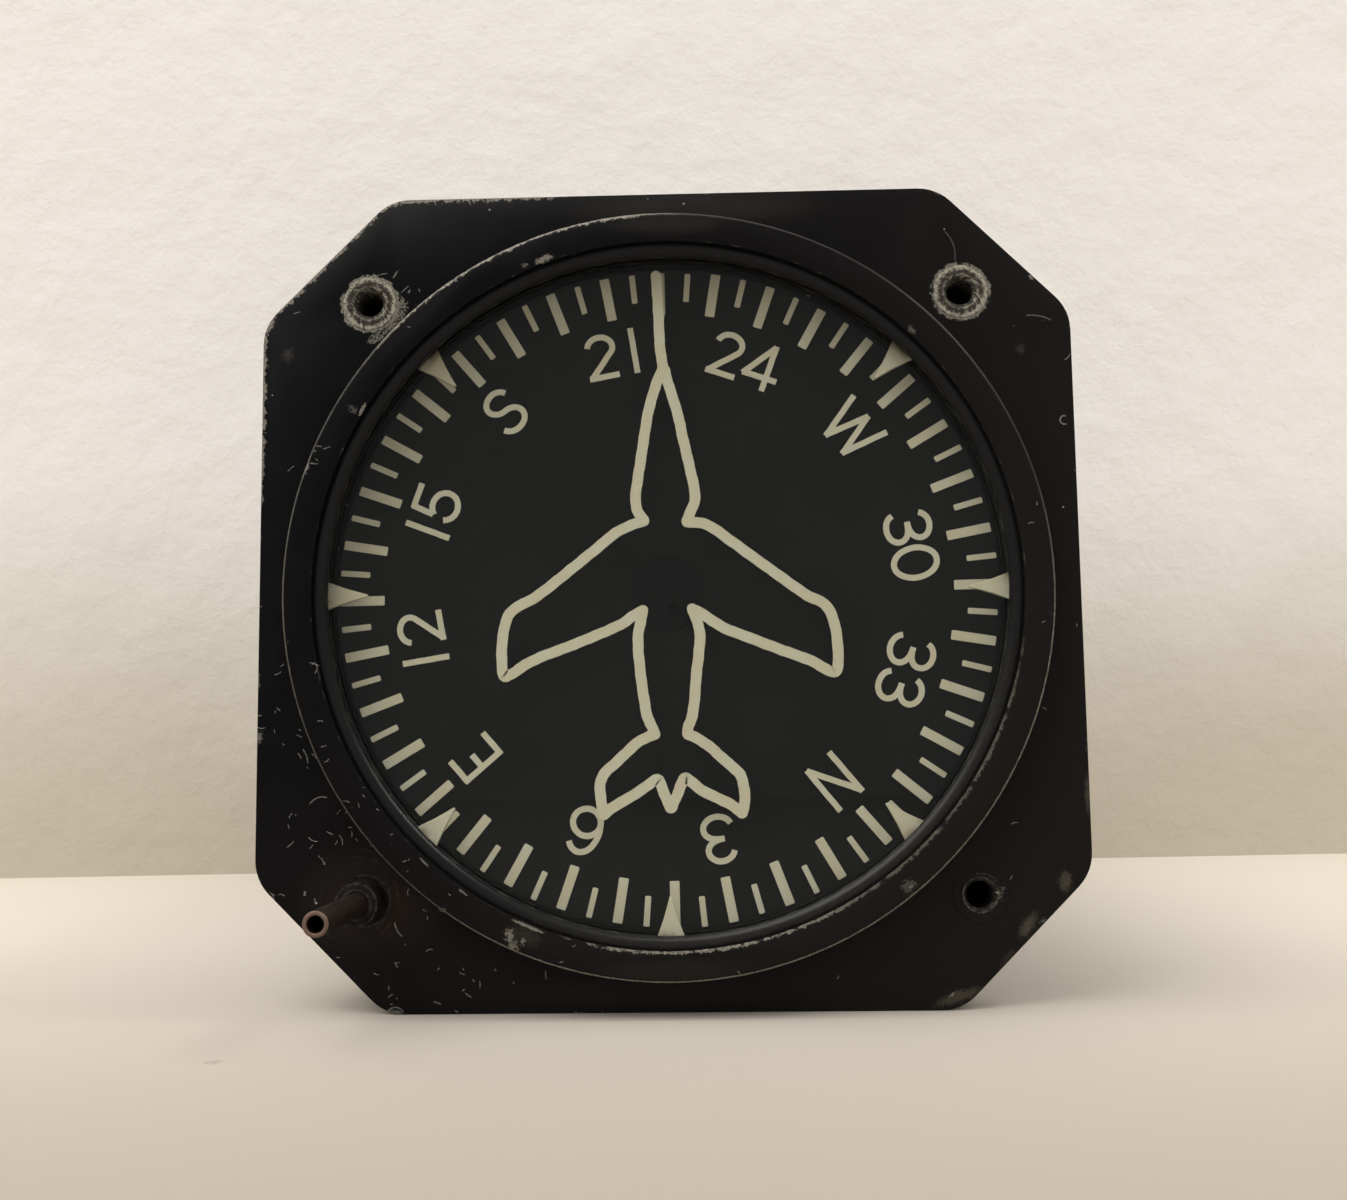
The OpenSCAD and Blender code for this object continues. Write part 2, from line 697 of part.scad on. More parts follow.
module card_bracket() color(alloy) {
    difference() {
        union() {
            y_cylinder(bracket_y, bracket_back, cavity_r - 0.1);
            y_cylinder(hub_front, hub_back, hub_r);
        }
        y_cylinder(hub_front - over, hub_back + over, spindle_r + 0.6);
        y_cylinder(hub_front - over, hub_front + bearing_w, bearing_r);
        y_cylinder(hub_back - bearing_w, hub_back + over, bearing_r);
        for (dir = [15 : 60 : 315])
            polar(window_dist, dir) y_cylinder(bracket_y - over, bracket_back + over, window_r);
        for (dir = [30, 150, 270])
            polar(bracket_screw_r, dir)
                y_cylinder(bracket_y - over, bracket_back + over, small_screw_r);
        at_idler() y_cylinder(bracket_y - over, bracket_back + over, stud_r);
        at_adjuster() y_cylinder(bracket_y - over, bracket_back + over, housing_cavity_r);
    }
}

// A cheese-head screw along +Y with the underside of its head at y0
module y_screw(y0, r, length, head_r, head_t) {
    difference() {
        union() {
            y_cylinder(y0 - length, y0, r);
            y_cylinder(y0, y0 + head_t, head_r);
        }
        translate([-head_r - over, y0 + head_t * 0.5, -head_r * 0.14])
            cube([2 * head_r + 2 * over, head_t, head_r * 0.28]);
    }
}

module bracket_screws() color(steel) {
    for (dir = [30, 150, 270])
        polar(bracket_screw_r, dir)
            y_screw(bracket_back, small_screw_r, bracket_screw_l, screw_head_r, small_head_t);
}

// A ball race drawn as one ring with a groove on both faces, about Y
module y_bearing(y0, w, r_out, r_in) {
    mid = (r_out + r_in) / 2;
    groove = (r_out - r_in) / 6;
    difference() {
        y_tube(y0, y0 + w, r_out, r_in);
        y_tube(y0 - over, y0 + 0.3, mid + groove, mid - groove);
        y_tube(y0 + w - 0.3, y0 + w + over, mid + groove, mid - groove);
    }
}

module card_bearings() color(steel) {
    y_bearing(hub_front, bearing_w, bearing_r, spindle_r + fit);
    y_bearing(hub_back - bearing_w, bearing_w, bearing_r, spindle_r + fit);
}

module setting_gear() color(brass) {
    difference() {
        spur_gear(setting_teeth, 0, gear_y, gear_back, spindle_r);
        for (dir = [0 : 60 : 300])
            polar(window_dist, dir) y_cylinder(gear_y - over, gear_back + over, window_r);
    }
}

module idler_gear() color(brass) {
    at_idler() spur_gear(idler_teeth, idler_phase, gear_y, gear_back, stud_r + fit);
}

module idler_stud() color(steel) {
    at_idler() {
        y_cylinder(bracket_y, gear_back + gear_gap, stud_r);
        y_cylinder(bracket_back, gear_y - gear_gap, stud_post_r);
        y_cylinder(gear_back + gear_gap, gear_back + 0.4, stud_head_r);
    }
}

module clutch_gear() color(brass) {
    at_adjuster() {
        spur_gear(clutch_teeth, clutch_phase, gear_y, gear_back, journal_r - 0.5);
        y_cylinder(gear_y + 0.4, cap_y + cap_t - 0.2, journal_r);
    }
}

module housing_cap() color(alloy) {
    at_adjuster() y_tube(cap_y, housing_end, housing_cavity_r, journal_r + fit);
}

module clutch_disc() color(brass) {
    at_adjuster() y_tube(disc_y, facing_y, disc_r, shaft_r);
}

module clutch_facing() color([0.3, 0.2, 0.13]) {
    at_adjuster() y_tube(facing_y, shaft_end, disc_r - 0.2, shaft_r);
}

module adjuster_shaft() color([0.42, 0.27, 0.2]) {
    groove_back = -bush_nose - knob_gap;
    at_adjuster() difference() {
        y_cylinder(-shaft_out, shaft_end, shaft_r);
        y_cylinder(-shaft_out - over, 0, shaft_bore_r);
        y_tube(groove_back - knob_groove_w, groove_back, shaft_r + over, shaft_r - knob_groove);
        y_tube(clip_y, clip_y + clip_t, shaft_r + over, shaft_r - clip_groove);
    }
}

module shaft_clip() color(steel) {
    at_adjuster() difference() {
        y_tube(clip_y, clip_y + clip_t, clip_r, shaft_r - clip_groove);
        translate([-clip_groove, clip_y - over, 0])
            cube([2 * clip_groove, clip_t + 2 * over, clip_r + over]);
    }
}

module shaft_bush() color([0.09, 0.08, 0.07]) {
    at_adjuster() difference() {
        union() {
            y_cylinder(-bush_nose, bush_back, bush_nose_r);
            y_cylinder(0, collar_t, bush_collar_r);
        }
        y_cylinder(-bush_nose - over, bush_back + over, shaft_r + fit);
    }
}

module thrust_washer() color(steel) {
    at_adjuster() y_tube(washer_y, spring_y, washer_r, shaft_r + fit);
}

// Points of one ring of the spring wire at turn u, from 0 to 1 along the spring
spring_mid_r = shaft_r + 0.75;
spring_steps = 24 * spring_turns;
spring_rise = spring_l - 2 * spring_wire_r - 0.04;
function coil_point(u) = [
    spring_mid_r * cos(360 * spring_turns * u),
    spring_y + spring_wire_r + 0.02 + spring_rise * u,
    spring_mid_r * sin(360 * spring_turns * u)];
function coil_ring(u) =
    let (a = 360 * spring_turns * u, out = [cos(a), 0, sin(a)], along = [0, 1, 0])
    [for (k = [0 : 5]) coil_point(u)
        + spring_wire_r * (cos(60 * k) * out + sin(60 * k) * along)];
function coil_points() = [for (i = [0 : spring_steps]) for (q = coil_ring(i / spring_steps)) q];
coil_gap = spring_rise / spring_turns - 2 * spring_wire_r;
echo(least_gap_between_turns = coil_gap);

module return_spring() color(steel) {
    last = 6 * spring_steps;
    at_adjuster() polyhedron(coil_points(), concat(
        [[for (k = [0 : 5]) k]],
        [for (i = [0 : spring_steps - 1], k = [0 : 5])
            [6 * i + k, 6 * i + 6 + k, 6 * i + (k + 1) % 6]],
        [for (i = [0 : spring_steps - 1], k = [0 : 5])
            [6 * i + (k + 1) % 6, 6 * i + 6 + k, 6 * i + 6 + (k + 1) % 6]],
        [[for (k = [5 : -1 : 0]) last + k]]), convexity = 6);
}

module spring_seat() color(steel) {
    at_adjuster() y_tube(seat_plate_y, seat_plate_y + seat_plate_t, housing_cavity_r, shaft_r + fit);
}

module card_bevel_gear() color(brass) {
    difference() {
        union() {
            at_gyro() rotate([90, 0, 0]) bevel_teeth_ring(180 / bevel_teeth - 90);
            at_gyro() rotate([90, 0, 0]) rotate_extrude() polygon([
                rim_in_front, rim_out_front, rim_out_back, [dish_flat_r + 0.8, dish_out], [0, dish_out],
                [0, dish_in], [dish_flat_r, dish_in], rim_in_back]);
            y_cylinder(gear_back, gyro_y - dish_out + 0.5, card_hub_r);
        }
        y_cylinder(gear_back - over, gyro_y - dish_in + over, spindle_r);
    }
}

module gimbal_bevel_gear() color(brass) {
    at_gyro() difference() {
        rotate([180, 0, 0]) {
            bevel_teeth_ring(90);
            rotate_extrude() polygon([rim_in_front, rim_out_front, rim_out_back,
                [web_r, web_bottom], [0, web_bottom], [0, disc_bottom],
                [rim_in_back[0] - 0.8, disc_bottom], [rim_in_back[0], disc_bottom - 1.6], rim_in_back]);
        }
        translate([0, 0, -web_bottom - over]) cylinder(h = web_t + 2 * over, r = pivot_hub_r + fit);
        for (dir = [90, 210, 330])
            rotate([0, 0, dir]) translate([gear_screw_dist, 0, -web_bottom - over])
                cylinder(h = web_t + 2 * over, r = small_screw_r);
    }
}

module gear_screws() color(steel) {
    at_gyro() for (dir = [90, 210, 330])
        rotate([0, 0, dir]) translate([gear_screw_dist, 0, -web_bottom])
            rotate([-90, 0, 0]) y_screw(0, small_screw_r, gear_screw_l, screw_head_r, small_head_t);
}

module outer_gimbal() color(alloy) {
    at_gyro() difference() {
        union() {
            difference() {
                y_tube(-outer_w / 2, outer_w / 2, outer_out_r, outer_in_r);
                translate([-outer_out_r, -outer_w, -2 * outer_out_r])
                    cube([2 * outer_out_r, 2 * outer_w, 2 * outer_out_r - disc_bottom]);
            }
            difference() {
                translate([0, 0, -disc_bottom])
                    cylinder(h = disc_bottom - disc_top, r = gear_disc_r);
                y_cylinder(-gear_disc_r - over, gear_disc_r + over, disc_top - 0.5);
            }
            translate([0, 0, -hub_reach]) cylinder(h = hub_reach - disc_top, r = pivot_hub_r);
            translate([0, 0, disc_top]) cylinder(h = hub_reach - disc_top, r = pivot_hub_r);
            for (s = [-1, 1]) scale_x(s)
                translate([tilt_boss_in, 0, 0]) rotate([0, 90, 0])
                    cylinder(h = tilt_boss_out - tilt_boss_in, r = tilt_boss_r);
        }
        for (s = [-1, 1]) scale_x(s) {
            translate([tilt_boss_in - over, 0, 0]) rotate([0, 90, 0])
                cylinder(h = 6, r = tilt_pin_r + 0.5);
            translate([tilt_boss_out - tilt_bearing_w - 0.4, 0, 0]) rotate([0, 90, 0])
                cylinder(h = 6, r = tilt_bearing_r);
        }
        for (s = [-1, 1]) scale_z(s)
            translate([0, 0, disc_top + 0.4]) cylinder(h = 6, r = pivot_r);
        for (dir = [90, 210, 330])
            rotate([0, 0, dir]) translate([gear_screw_dist, 0, -disc_bottom - over])
                cylinder(h = over + gear_screw_l - web_t, r = small_screw_r);
        for (x = [-nozzle_x, nozzle_x])
            translate([x, 0, outer_in_r - 3]) cylinder(h = 2 * ring_t, r = nozzle_r);
    }
}

// Children kept for s = 1 and mirrored left to right for s = -1
module scale_x(s) {
    if (s > 0) children(); else mirror([1, 0, 0]) children();
}

module vertical_pivots() color(steel) {
    at_gyro() for (s = [-1, 1]) scale_z(s)
        translate([0, 0, disc_top + 0.4]) cylinder(h = pivot_end - disc_top - 0.4, r = pivot_r);
}

// Block that holds a vertical pivot bearing against the wall of the case; z points outwards
module pivot_block() {
    intersection() {
        at_gyro() difference() {
            translate([0, 0, block_z]) cylinder(h = cavity_r - block_z + over, r = block_r);
            translate([0, 0, block_z - over]) cylinder(h = 2 * over, r = pivot_bearing_r - 0.8);
            translate([0, 0, pivot_bearing_z])
                cylinder(h = pivot_bearing_w, r = pivot_bearing_r);
            translate([0, 0, pivot_bearing_z]) cylinder(h = pivot_bearing_w + 0.9, r = 2);
            for (x = [-block_screw_x, block_screw_x])
                translate([x, 0, case_r - head_sink - block_screw_l - 0.6])
                    cylinder(h = block_screw_l, r = cover_screw_r);
        }
        y_cylinder(gyro_y - block_r - over, gyro_y + block_r + over, cavity_r);
    }
}

module upper_pivot_block() color(alloy) {
    difference() {
        pivot_block();
        translate([0, 0, tube_z]) y_cylinder(gyro_y + pivot_bearing_r, gyro_y + block_r + over, tube_r);
    }
}

module lower_pivot_block() color(alloy) mirror([0, 0, 1]) pivot_block();

module pivot_bearings() color(steel) {
    at_gyro() for (s = [-1, 1]) scale_z(s)
        translate([0, 0, pivot_bearing_z]) rotate([90, 0, 0])
            y_bearing(0, pivot_bearing_w, pivot_bearing_r, pivot_r + fit);
}

module block_screws() color(steel) {
    for (s = [-1, 1], x = [-block_screw_x, block_screw_x])
        translate([x, gyro_y, 0]) scale_z(s) translate([0, 0, case_r - head_sink])
            rotate([90, 0, 0])
                y_screw(0, cover_screw_r, block_screw_l, block_head_r, block_head_t);
}

module tilt_bearings() color(steel) {
    at_gyro() for (s = [-1, 1]) scale_x(s)
        rotate([0, 0, -90])
            y_bearing(tilt_boss_out - tilt_bearing_w - 0.4, tilt_bearing_w, tilt_bearing_r,
                tilt_pin_r + fit);
}

module air_nozzles() color(brass) {
    at_gyro() for (x = [-nozzle_x, nozzle_x]) translate([x, 0, outer_in_r - 0.8])
        difference() {
            cylinder(h = ring_t + 0.9, r = nozzle_r);
            translate([0, 0, -over]) cylinder(h = ring_t + 3, r = nozzle_bore_r);
        }
}

module inner_gimbal() color(alloy) {
    at_gyro() difference() {
        union() {
            difference() {
                translate([0, 0, -inner_w / 2]) cylinder(h = inner_w, r = inner_out_r);
                translate([0, 0, -inner_w]) cylinder(h = 2 * inner_w, r = inner_in_r);
            }
            for (s = [-1, 1]) scale_y(s)
                y_cylinder(rotor_bearing_in - 1.4, rotor_boss_out, rotor_boss_r);
        }
        for (s = [-1, 1]) scale_y(s) {
            y_cylinder(rotor_bearing_in - 2, rotor_boss_out, pivot_r + 0.4);
            y_cylinder(rotor_bearing_in, inner_out_r + over, rotor_bearing_r);
        }
        for (s = [-1, 1]) scale_x(s)
            translate([inner_in_r - over, 0, 0]) rotate([0, 90, 0]) cylinder(h = 6, r = tilt_pin_r);
    }
}

// Children kept for s = 1 and mirrored front to back for s = -1
module scale_y(s) {
    if (s > 0) children(); else mirror([0, 1, 0]) children();
}

module tilt_pivots() color(steel) {
    at_gyro() for (s = [-1, 1]) scale_x(s)
        translate([inner_in_r + 0.2, 0, 0]) rotate([0, 90, 0])
            cylinder(h = tilt_boss_out - 0.6 - inner_in_r - 0.2, r = tilt_pin_r);
}

module rotor_bearings() color(steel) {
    at_gyro() for (s = [-1, 1]) scale_y(s)
        y_bearing(rotor_bearing_in, rotor_bearing_w, rotor_bearing_r, pivot_r + fit);
}

module bearing_caps() color(brass) {
    at_gyro() for (s = [-1, 1]) scale_y(s) difference() {
        y_cylinder(rotor_bearing_in + rotor_bearing_w + 0.2, rotor_boss_out + 0.2, rotor_bearing_r);
        translate([-rotor_bearing_r - over, rotor_boss_out - 0.2, -0.4])
            cube([2 * rotor_bearing_r + 2 * over, 2, 0.8]);
    }
}

module balance_nuts() color(brass) {
    at_gyro() for (dir = [45 : 90 : 315], s = [-1, 1]) scale_z(s)
        rotate([0, 0, dir]) translate([(inner_in_r + inner_out_r) / 2, 0, inner_w / 2])
            cylinder(h = 0.9, r = 1.2);
}

module rotor() color(brass) {
    at_gyro() difference() {
        y_cylinder(-rotor_w / 2, rotor_w / 2, rotor_r);
        for (s = [-1, 1]) scale_y(s) difference() {
            y_cylinder(rotor_w / 2 - recess_t, rotor_w / 2 + over, rotor_r - rotor_rim_t);
            y_cylinder(0, rotor_w / 2 + 2 * over, rotor_hub_r);
        }
        for (i = [0 : bucket_count - 1])
            polar(rotor_r + 0.6, 360 * i / bucket_count)
                y_cylinder(-bucket_l / 2, bucket_l / 2, bucket_r);
        y_cylinder(-rotor_w, rotor_w, pivot_r);
    }
}

module rotor_shaft() color(steel) {
    shaft_half = rotor_bearing_in + rotor_bearing_w - 0.1;
    at_gyro() y_cylinder(-shaft_half, shaft_half, pivot_r);
}

module air_tube() color(brass) {
    translate([0, 0, tube_z])
        y_tube(gyro_y + pivot_bearing_r + 0.8, cover_back, tube_r, tube_r - 0.5);
}

module rear_gasket() color([0.12, 0.12, 0.12]) {
    difference() {
        y_tube(barrel_l, cover_y, case_r, cavity_r - 5);
        for (dir = [0 : 60 : 300])
            polar(cover_screw_dist, dir) y_cylinder(barrel_l - over, cover_y + over, cover_screw_r);
        translate([0, 0, tube_z]) y_cylinder(barrel_l - over, cover_y + over, tube_r);
    }
}

module rear_cover() color(enamel) {
    difference() {
        y_turned([[0, cover_y], [case_r, cover_y], [case_r, cover_back - 0.8],
            [case_r - 0.8, cover_back], [0, cover_back]]);
        for (dir = [0 : 60 : 300])
            polar(cover_screw_dist, dir) y_cylinder(cover_y - over, cover_back + over, cover_screw_r);
        translate([0, 0, tube_z]) y_cylinder(cover_y - over, cover_back + over, tube_r);
        translate([0, 0, nipple_z]) y_cylinder(cover_y - over, cover_back + over, thread_r);
        translate([0, 0, filter_z]) y_cylinder(cover_y - over, cover_back + over, plug_r);
    }
}

module cover_screws() color(steel) {
    for (dir = [0 : 60 : 300])
        polar(cover_screw_dist, dir)
            y_screw(cover_back, cover_screw_r, cover_screw_l, cover_head_r, cover_head_t);
}

module vacuum_nipple() color(brass) {
    tip = cover_back + hex_t + nipple_l;
    translate([0, 0, nipple_z]) {
        y_turned([[nipple_bore_r, cover_y], [thread_r, cover_y], [thread_r, cover_back + over],
            [nipple_r, cover_back + over], [nipple_r, tip - barb_l],
            [nipple_r + barb_h, tip - barb_l + barb_h], [nipple_r - tip_chamfer, tip],
            [nipple_bore_r, tip]]);
        difference() {
            translate([0, cover_back, 0]) rotate([-90, 0, 0]) cylinder(h = hex_t, r = hex_r, $fn = 6);
            y_cylinder(cover_back - over, tip, thread_r - 0.2);
        }
    }
}

module filter_housing() color(alloy) {
    translate([0, 0, filter_z]) difference() {
        union() {
            y_tube(cover_back, filter_back, filter_r, filter_r - filter_wall);
            y_cylinder(cover_back, cover_back + filter_floor, filter_r);
            y_cylinder(cover_y, filter_back, post_r);
            y_cylinder(cover_y, cover_back + over, plug_r);
        }
        y_cylinder(filter_back - filter_screw_l, filter_back + over, cover_screw_r);
        translate([0, 0, tube_z - filter_z])
            y_cylinder(cover_back - over, cover_back + filter_floor + over, tube_r - 0.5);
    }
}

module air_filter() color([0.72, 0.68, 0.58]) {
    translate([0, 0, filter_z])
        y_tube(cover_back + filter_floor + 1, filter_back, filter_r - filter_wall - 0.2,
            post_r + 0.1);
}

module filter_cap() color(alloy) {
    translate([0, 0, filter_z]) difference() {
        y_cylinder(filter_back, filter_back + filter_cap_t, filter_r);
        y_cylinder(filter_back - over, filter_back + filter_cap_t + over, cover_screw_r);
        for (k = [[6.5, 8], [11, 14]], i = [0 : k[1] - 1])
            polar(k[0], 360 * i / k[1])
                y_cylinder(filter_back - over, filter_back + filter_cap_t + over, 1.4);
    }
}

module filter_screw() color(steel) {
    translate([0, 0, filter_z])
        y_screw(filter_back + filter_cap_t, cover_screw_r, filter_screw_l, cover_head_r, cover_head_t);
}

case();
mount_inserts();
retaining_ring();
cover_glass();
aircraft_symbol();
index_pointers();
dial_mask();
glass_gasket();
compass_card();
card_markings();
card_hub();
card_spindle();
card_bracket();
bracket_screws();
card_bearings();
setting_gear();
idler_gear();
idler_stud();
clutch_gear();
housing_cap();
clutch_disc();
clutch_facing();
adjuster_shaft();
shaft_clip();
shaft_bush();
thrust_washer();
return_spring();
spring_seat();
card_bevel_gear();
gimbal_bevel_gear();
gear_screws();
outer_gimbal();
vertical_pivots();
upper_pivot_block();
lower_pivot_block();
pivot_bearings();
block_screws();
tilt_bearings();
air_nozzles();
inner_gimbal();
tilt_pivots();
rotor_bearings();
bearing_caps();
balance_nuts();
rotor();
rotor_shaft();
air_tube();
rear_gasket();
rear_cover();
cover_screws();
vacuum_nipple();
filter_housing();
air_filter();
filter_cap();
filter_screw();
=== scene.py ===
"""Finishes, wear, printed marks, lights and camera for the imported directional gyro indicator.

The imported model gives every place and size. Lengths are metres in the meshes, and millimetres in
the settings and in the shader groups, where a name or a comment says so.
"""

import json
import math

import bmesh
import bpy
from bpy.props import FloatProperty, FloatVectorProperty, IntProperty, PointerProperty
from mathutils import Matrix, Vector, noise


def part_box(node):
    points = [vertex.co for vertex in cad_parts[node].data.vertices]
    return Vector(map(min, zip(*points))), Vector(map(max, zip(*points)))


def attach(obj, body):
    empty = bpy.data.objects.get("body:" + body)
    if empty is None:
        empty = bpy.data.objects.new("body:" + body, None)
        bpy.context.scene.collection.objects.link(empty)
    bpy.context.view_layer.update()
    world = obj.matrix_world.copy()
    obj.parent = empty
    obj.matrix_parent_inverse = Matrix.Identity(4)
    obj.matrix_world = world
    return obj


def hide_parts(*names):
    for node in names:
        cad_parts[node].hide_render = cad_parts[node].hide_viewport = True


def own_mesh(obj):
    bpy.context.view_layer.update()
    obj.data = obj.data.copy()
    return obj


bl_info = {
    "name": "Directional gyro indicator",
    "version": (1, 0, 0),
    "blender": (4, 5, 0),
    "location": "3D View > Sidebar > Gyro",
    "description": "Finishes, printed marks, lights and camera for a directional gyro indicator",
    "category": "Object",
}

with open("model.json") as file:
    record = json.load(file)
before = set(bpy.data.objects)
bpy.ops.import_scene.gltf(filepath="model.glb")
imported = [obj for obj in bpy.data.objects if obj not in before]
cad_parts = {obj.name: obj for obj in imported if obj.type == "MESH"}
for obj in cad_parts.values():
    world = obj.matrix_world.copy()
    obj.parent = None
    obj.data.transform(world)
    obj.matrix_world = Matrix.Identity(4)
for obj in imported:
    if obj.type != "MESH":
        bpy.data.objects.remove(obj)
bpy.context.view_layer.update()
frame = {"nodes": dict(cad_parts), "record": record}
NODES = frame["nodes"]
MM = 0.001

# Sizes that the shapes and the wear share with the part, in millimetres
BEZEL_R = 39.35
BEZEL_FRONT = -4.0
BORE_R = 36.2
FLANGE_T = 4.8
HALF_WIDTH = 42.85
CLIP = 50.98
CORNER_ROUND = 5.0
HOLE = 31.43
BARREL_R = 40.56
COVER_BACK = 112.8
SPRING_WIRE = 0.17
INSERT_R = 2.88
THREAD_PITCH = 0.794
THREAD_END = 8.2
FIGURE_R = 26.1

# The heading on the card that stands under the lubber line, in degrees
UNDER_LUBBER = 220.7

# Height of the table top in millimetres, and where the camera stands and turns, in metres and degrees
TABLE_TOP = -42.87
CAMERA_PLACE = (0.00443, -0.14438, -0.01506)
CAMERA_TURN = (95.599, 0.730, 1.569)

# Shades of the wear, dirt and dust that lie on the finishes
SHADES = {
    "cloud": (0.013, 0.0125, 0.012), "rubbed": (0.095, 0.080, 0.062), "stain": (0.034, 0.021, 0.014),
    "dried": (0.12, 0.105, 0.09), "dust": (0.16, 0.15, 0.14), "scratch": (0.42, 0.41, 0.38),
    "bare": (0.46, 0.43, 0.36), "bare_dull": (0.16, 0.145, 0.12), "cover_cloud": (0.028, 0.027, 0.028),
    "cover_scratch": (0.36, 0.34, 0.31), "cover_bare": (0.46, 0.43, 0.37),
    "insert_dirt": (0.040, 0.035, 0.028), "insert_painted_shade": (0.010, 0.009, 0.006),
    "ring_sheen_and_wear": (0.040, 0.038, 0.034), "ring_speck": (0.3, 0.28, 0.25),
    "mark_dirt": (0.30, 0.27, 0.19), "rim_dirt": (0.13, 0.085, 0.05), "mote": (0.2, 0.19, 0.17),
    "grime": (0.010, 0.007, 0.005), "shaft_painted_glint": (0.80, 0.70, 0.62), "bush": (0.0070, 0.0060, 0.0055),
    "bush_brown": (0.019, 0.016, 0.013), "bush_rubbed": (0.060, 0.052, 0.044),
    "bush_scuff": (0.12, 0.10, 0.08), "room_dirt": (0.30, 0.27, 0.23),
    "painted_reflection_shade": (0.13, 0.127, 0.122),
}

VECTOR = "NodeSocketVector"
FLOAT = "NodeSocketFloat"


class Board:
    """A node tree with short calls for adding and joining nodes."""

    def __init__(self, tree):
        self.tree = tree

    def add(self, kind, feeds=None, **settings):
        """Adds a node, sets its options and feeds its inputs with values or with outputs."""
        node = self.tree.nodes.new(kind)
        for name, value in settings.items():
            setattr(node, name, value)
        for name, value in (feeds or {}).items():
            if value is not None:
                self.feed(node.inputs[name], value)
        return node

    def feed(self, socket, value):
        """Joins an output to a socket or sets the socket's value; a colour needs no alpha."""
        if isinstance(value, bpy.types.NodeSocket):
            self.tree.links.new(value, socket)
        else:
            socket.default_value = (*value[:3], 1.0) if socket.type == "RGBA" else value

    def math(self, operation, a, b=None, c=None):
        return self.add("ShaderNodeMath", {0: a, 1: b, 2: c}, operation=operation).outputs[0]

    def plus(self, a, b):
        return self.math("ADD", a, b)

    def minus(self, a, b):
        return self.math("SUBTRACT", a, b)

    def times(self, a, b):
        return self.math("MULTIPLY", a, b)

    def times_plus(self, a, b, c):
        """a times b, plus c."""
        return self.math("MULTIPLY_ADD", a, b, c)

    def absolute(self, a):
        return self.math("ABSOLUTE", a)

    def root(self, a):
        return self.math("SQRT", a)

    def hypotenuse(self, a, b):
        return self.root(self.times_plus(a, a, self.times(b, b)))

    def xyz(self, vector):
        return self.add("ShaderNodeSeparateXYZ", {0: vector}).outputs

    def parts(self, shade):
        """The red, green and blue of a colour."""
        return self.add("ShaderNodeSeparateColor", {0: shade}).outputs

    def joined(self, x, y, z=None):
        return self.add("ShaderNodeCombineXYZ", {0: x, 1: y, 2: z}).outputs[0]

    def vector(self, operation, a, b=None, scale=None):
        node = self.add("ShaderNodeVectorMath", {0: a, 1: b, "Scale": scale}, operation=operation)
        return node.outputs["Value" if operation == "LENGTH" else "Vector"]

    def step(self, value, low, high):
        """A soft step from 0 at low to 1 at high, or down from 1 when high is the lesser."""
        feeds = {"Value": value, "From Min": low, "From Max": high}
        return self.add("ShaderNodeMapRange", feeds, interpolation_type="SMOOTHSTEP").outputs[0]

    def scale(self, value, low, high):
        """Maps 0 to 1 onto low to high."""
        return self.add("ShaderNodeMapRange", {"Value": value, "To Min": low, "To Max": high}).outputs[0]

    def tint(self, share, under, over):
        """The colour under, covered by the colour over where share is 1."""
        node = self.add("ShaderNodeMix", {0: share, 6: under, 7: over}, data_type="RGBA")
        return node.outputs[2]

    def most(self, *masks):
        """The greatest of several masks."""
        found = masks[0]
        for mask in masks[1:]:
            found = self.math("MAXIMUM", found, mask)
        return found

    def noise(self, place, scale, detail=3.0, rough=0.55):
        feeds = {"Vector": place, "Scale": scale, "Detail": detail, "Roughness": rough}
        return self.add("ShaderNodeTexNoise", feeds).outputs["Fac"]

    def group(self, name, feeds=None):
        """Places a shader group, feeds its named inputs and returns its outputs."""
        node = self.add("ShaderNodeGroup", node_tree=bpy.data.node_groups[name])
        for label, value in (feeds or {}).items():
            self.feed(node.inputs[label], value)
        return node.outputs

    def broken_edge(self, place, distance, width, cover, grain, ragged=1.0):
        feeds = {"Place": place, "Distance": distance, "Width": width, "Cover": cover, "Grain": grain,
                 "Ragged": ragged}
        return self.group("Broken edge", feeds)["Mask"]

    def flecks(self, skin, cell, length, width, share, bend):
        feeds = {"Skin": skin, "Cell": cell, "Length": length, "Width": width, "Share": share, "Bend": bend}
        return self.group("Flecks", feeds)["Mask"]

    def specks(self, place, cell, size, share):
        return self.group("Specks", {"Place": place, "Cell": cell, "Size": size, "Share": share})["Mask"]

    def grain(self, place, fine, coarse, share):
        return self.group("Grain", {"Place": place, "Fine": fine, "Coarse": coarse, "Share": share})


def new_shader_group(name, takes, gives=("Mask",)):
    """An empty shader group, as its board, inputs and result node.

    The inputs come with their default values. Place and Skin are vectors, and the rest numbers.
    """
    tree = bpy.data.node_groups.new(name, "ShaderNodeTree")
    for label in (*takes, *gives):
        kind = VECTOR if label in ("Place", "Skin") else FLOAT
        way = "INPUT" if label in takes else "OUTPUT"
        socket = tree.interface.new_socket(label, in_out=way, socket_type=kind)
        if way == "INPUT" and kind == FLOAT:
            socket.default_value = takes[label]
    board = Board(tree)
    return board, board.add("NodeGroupInput").outputs, board.add("NodeGroupOutput")


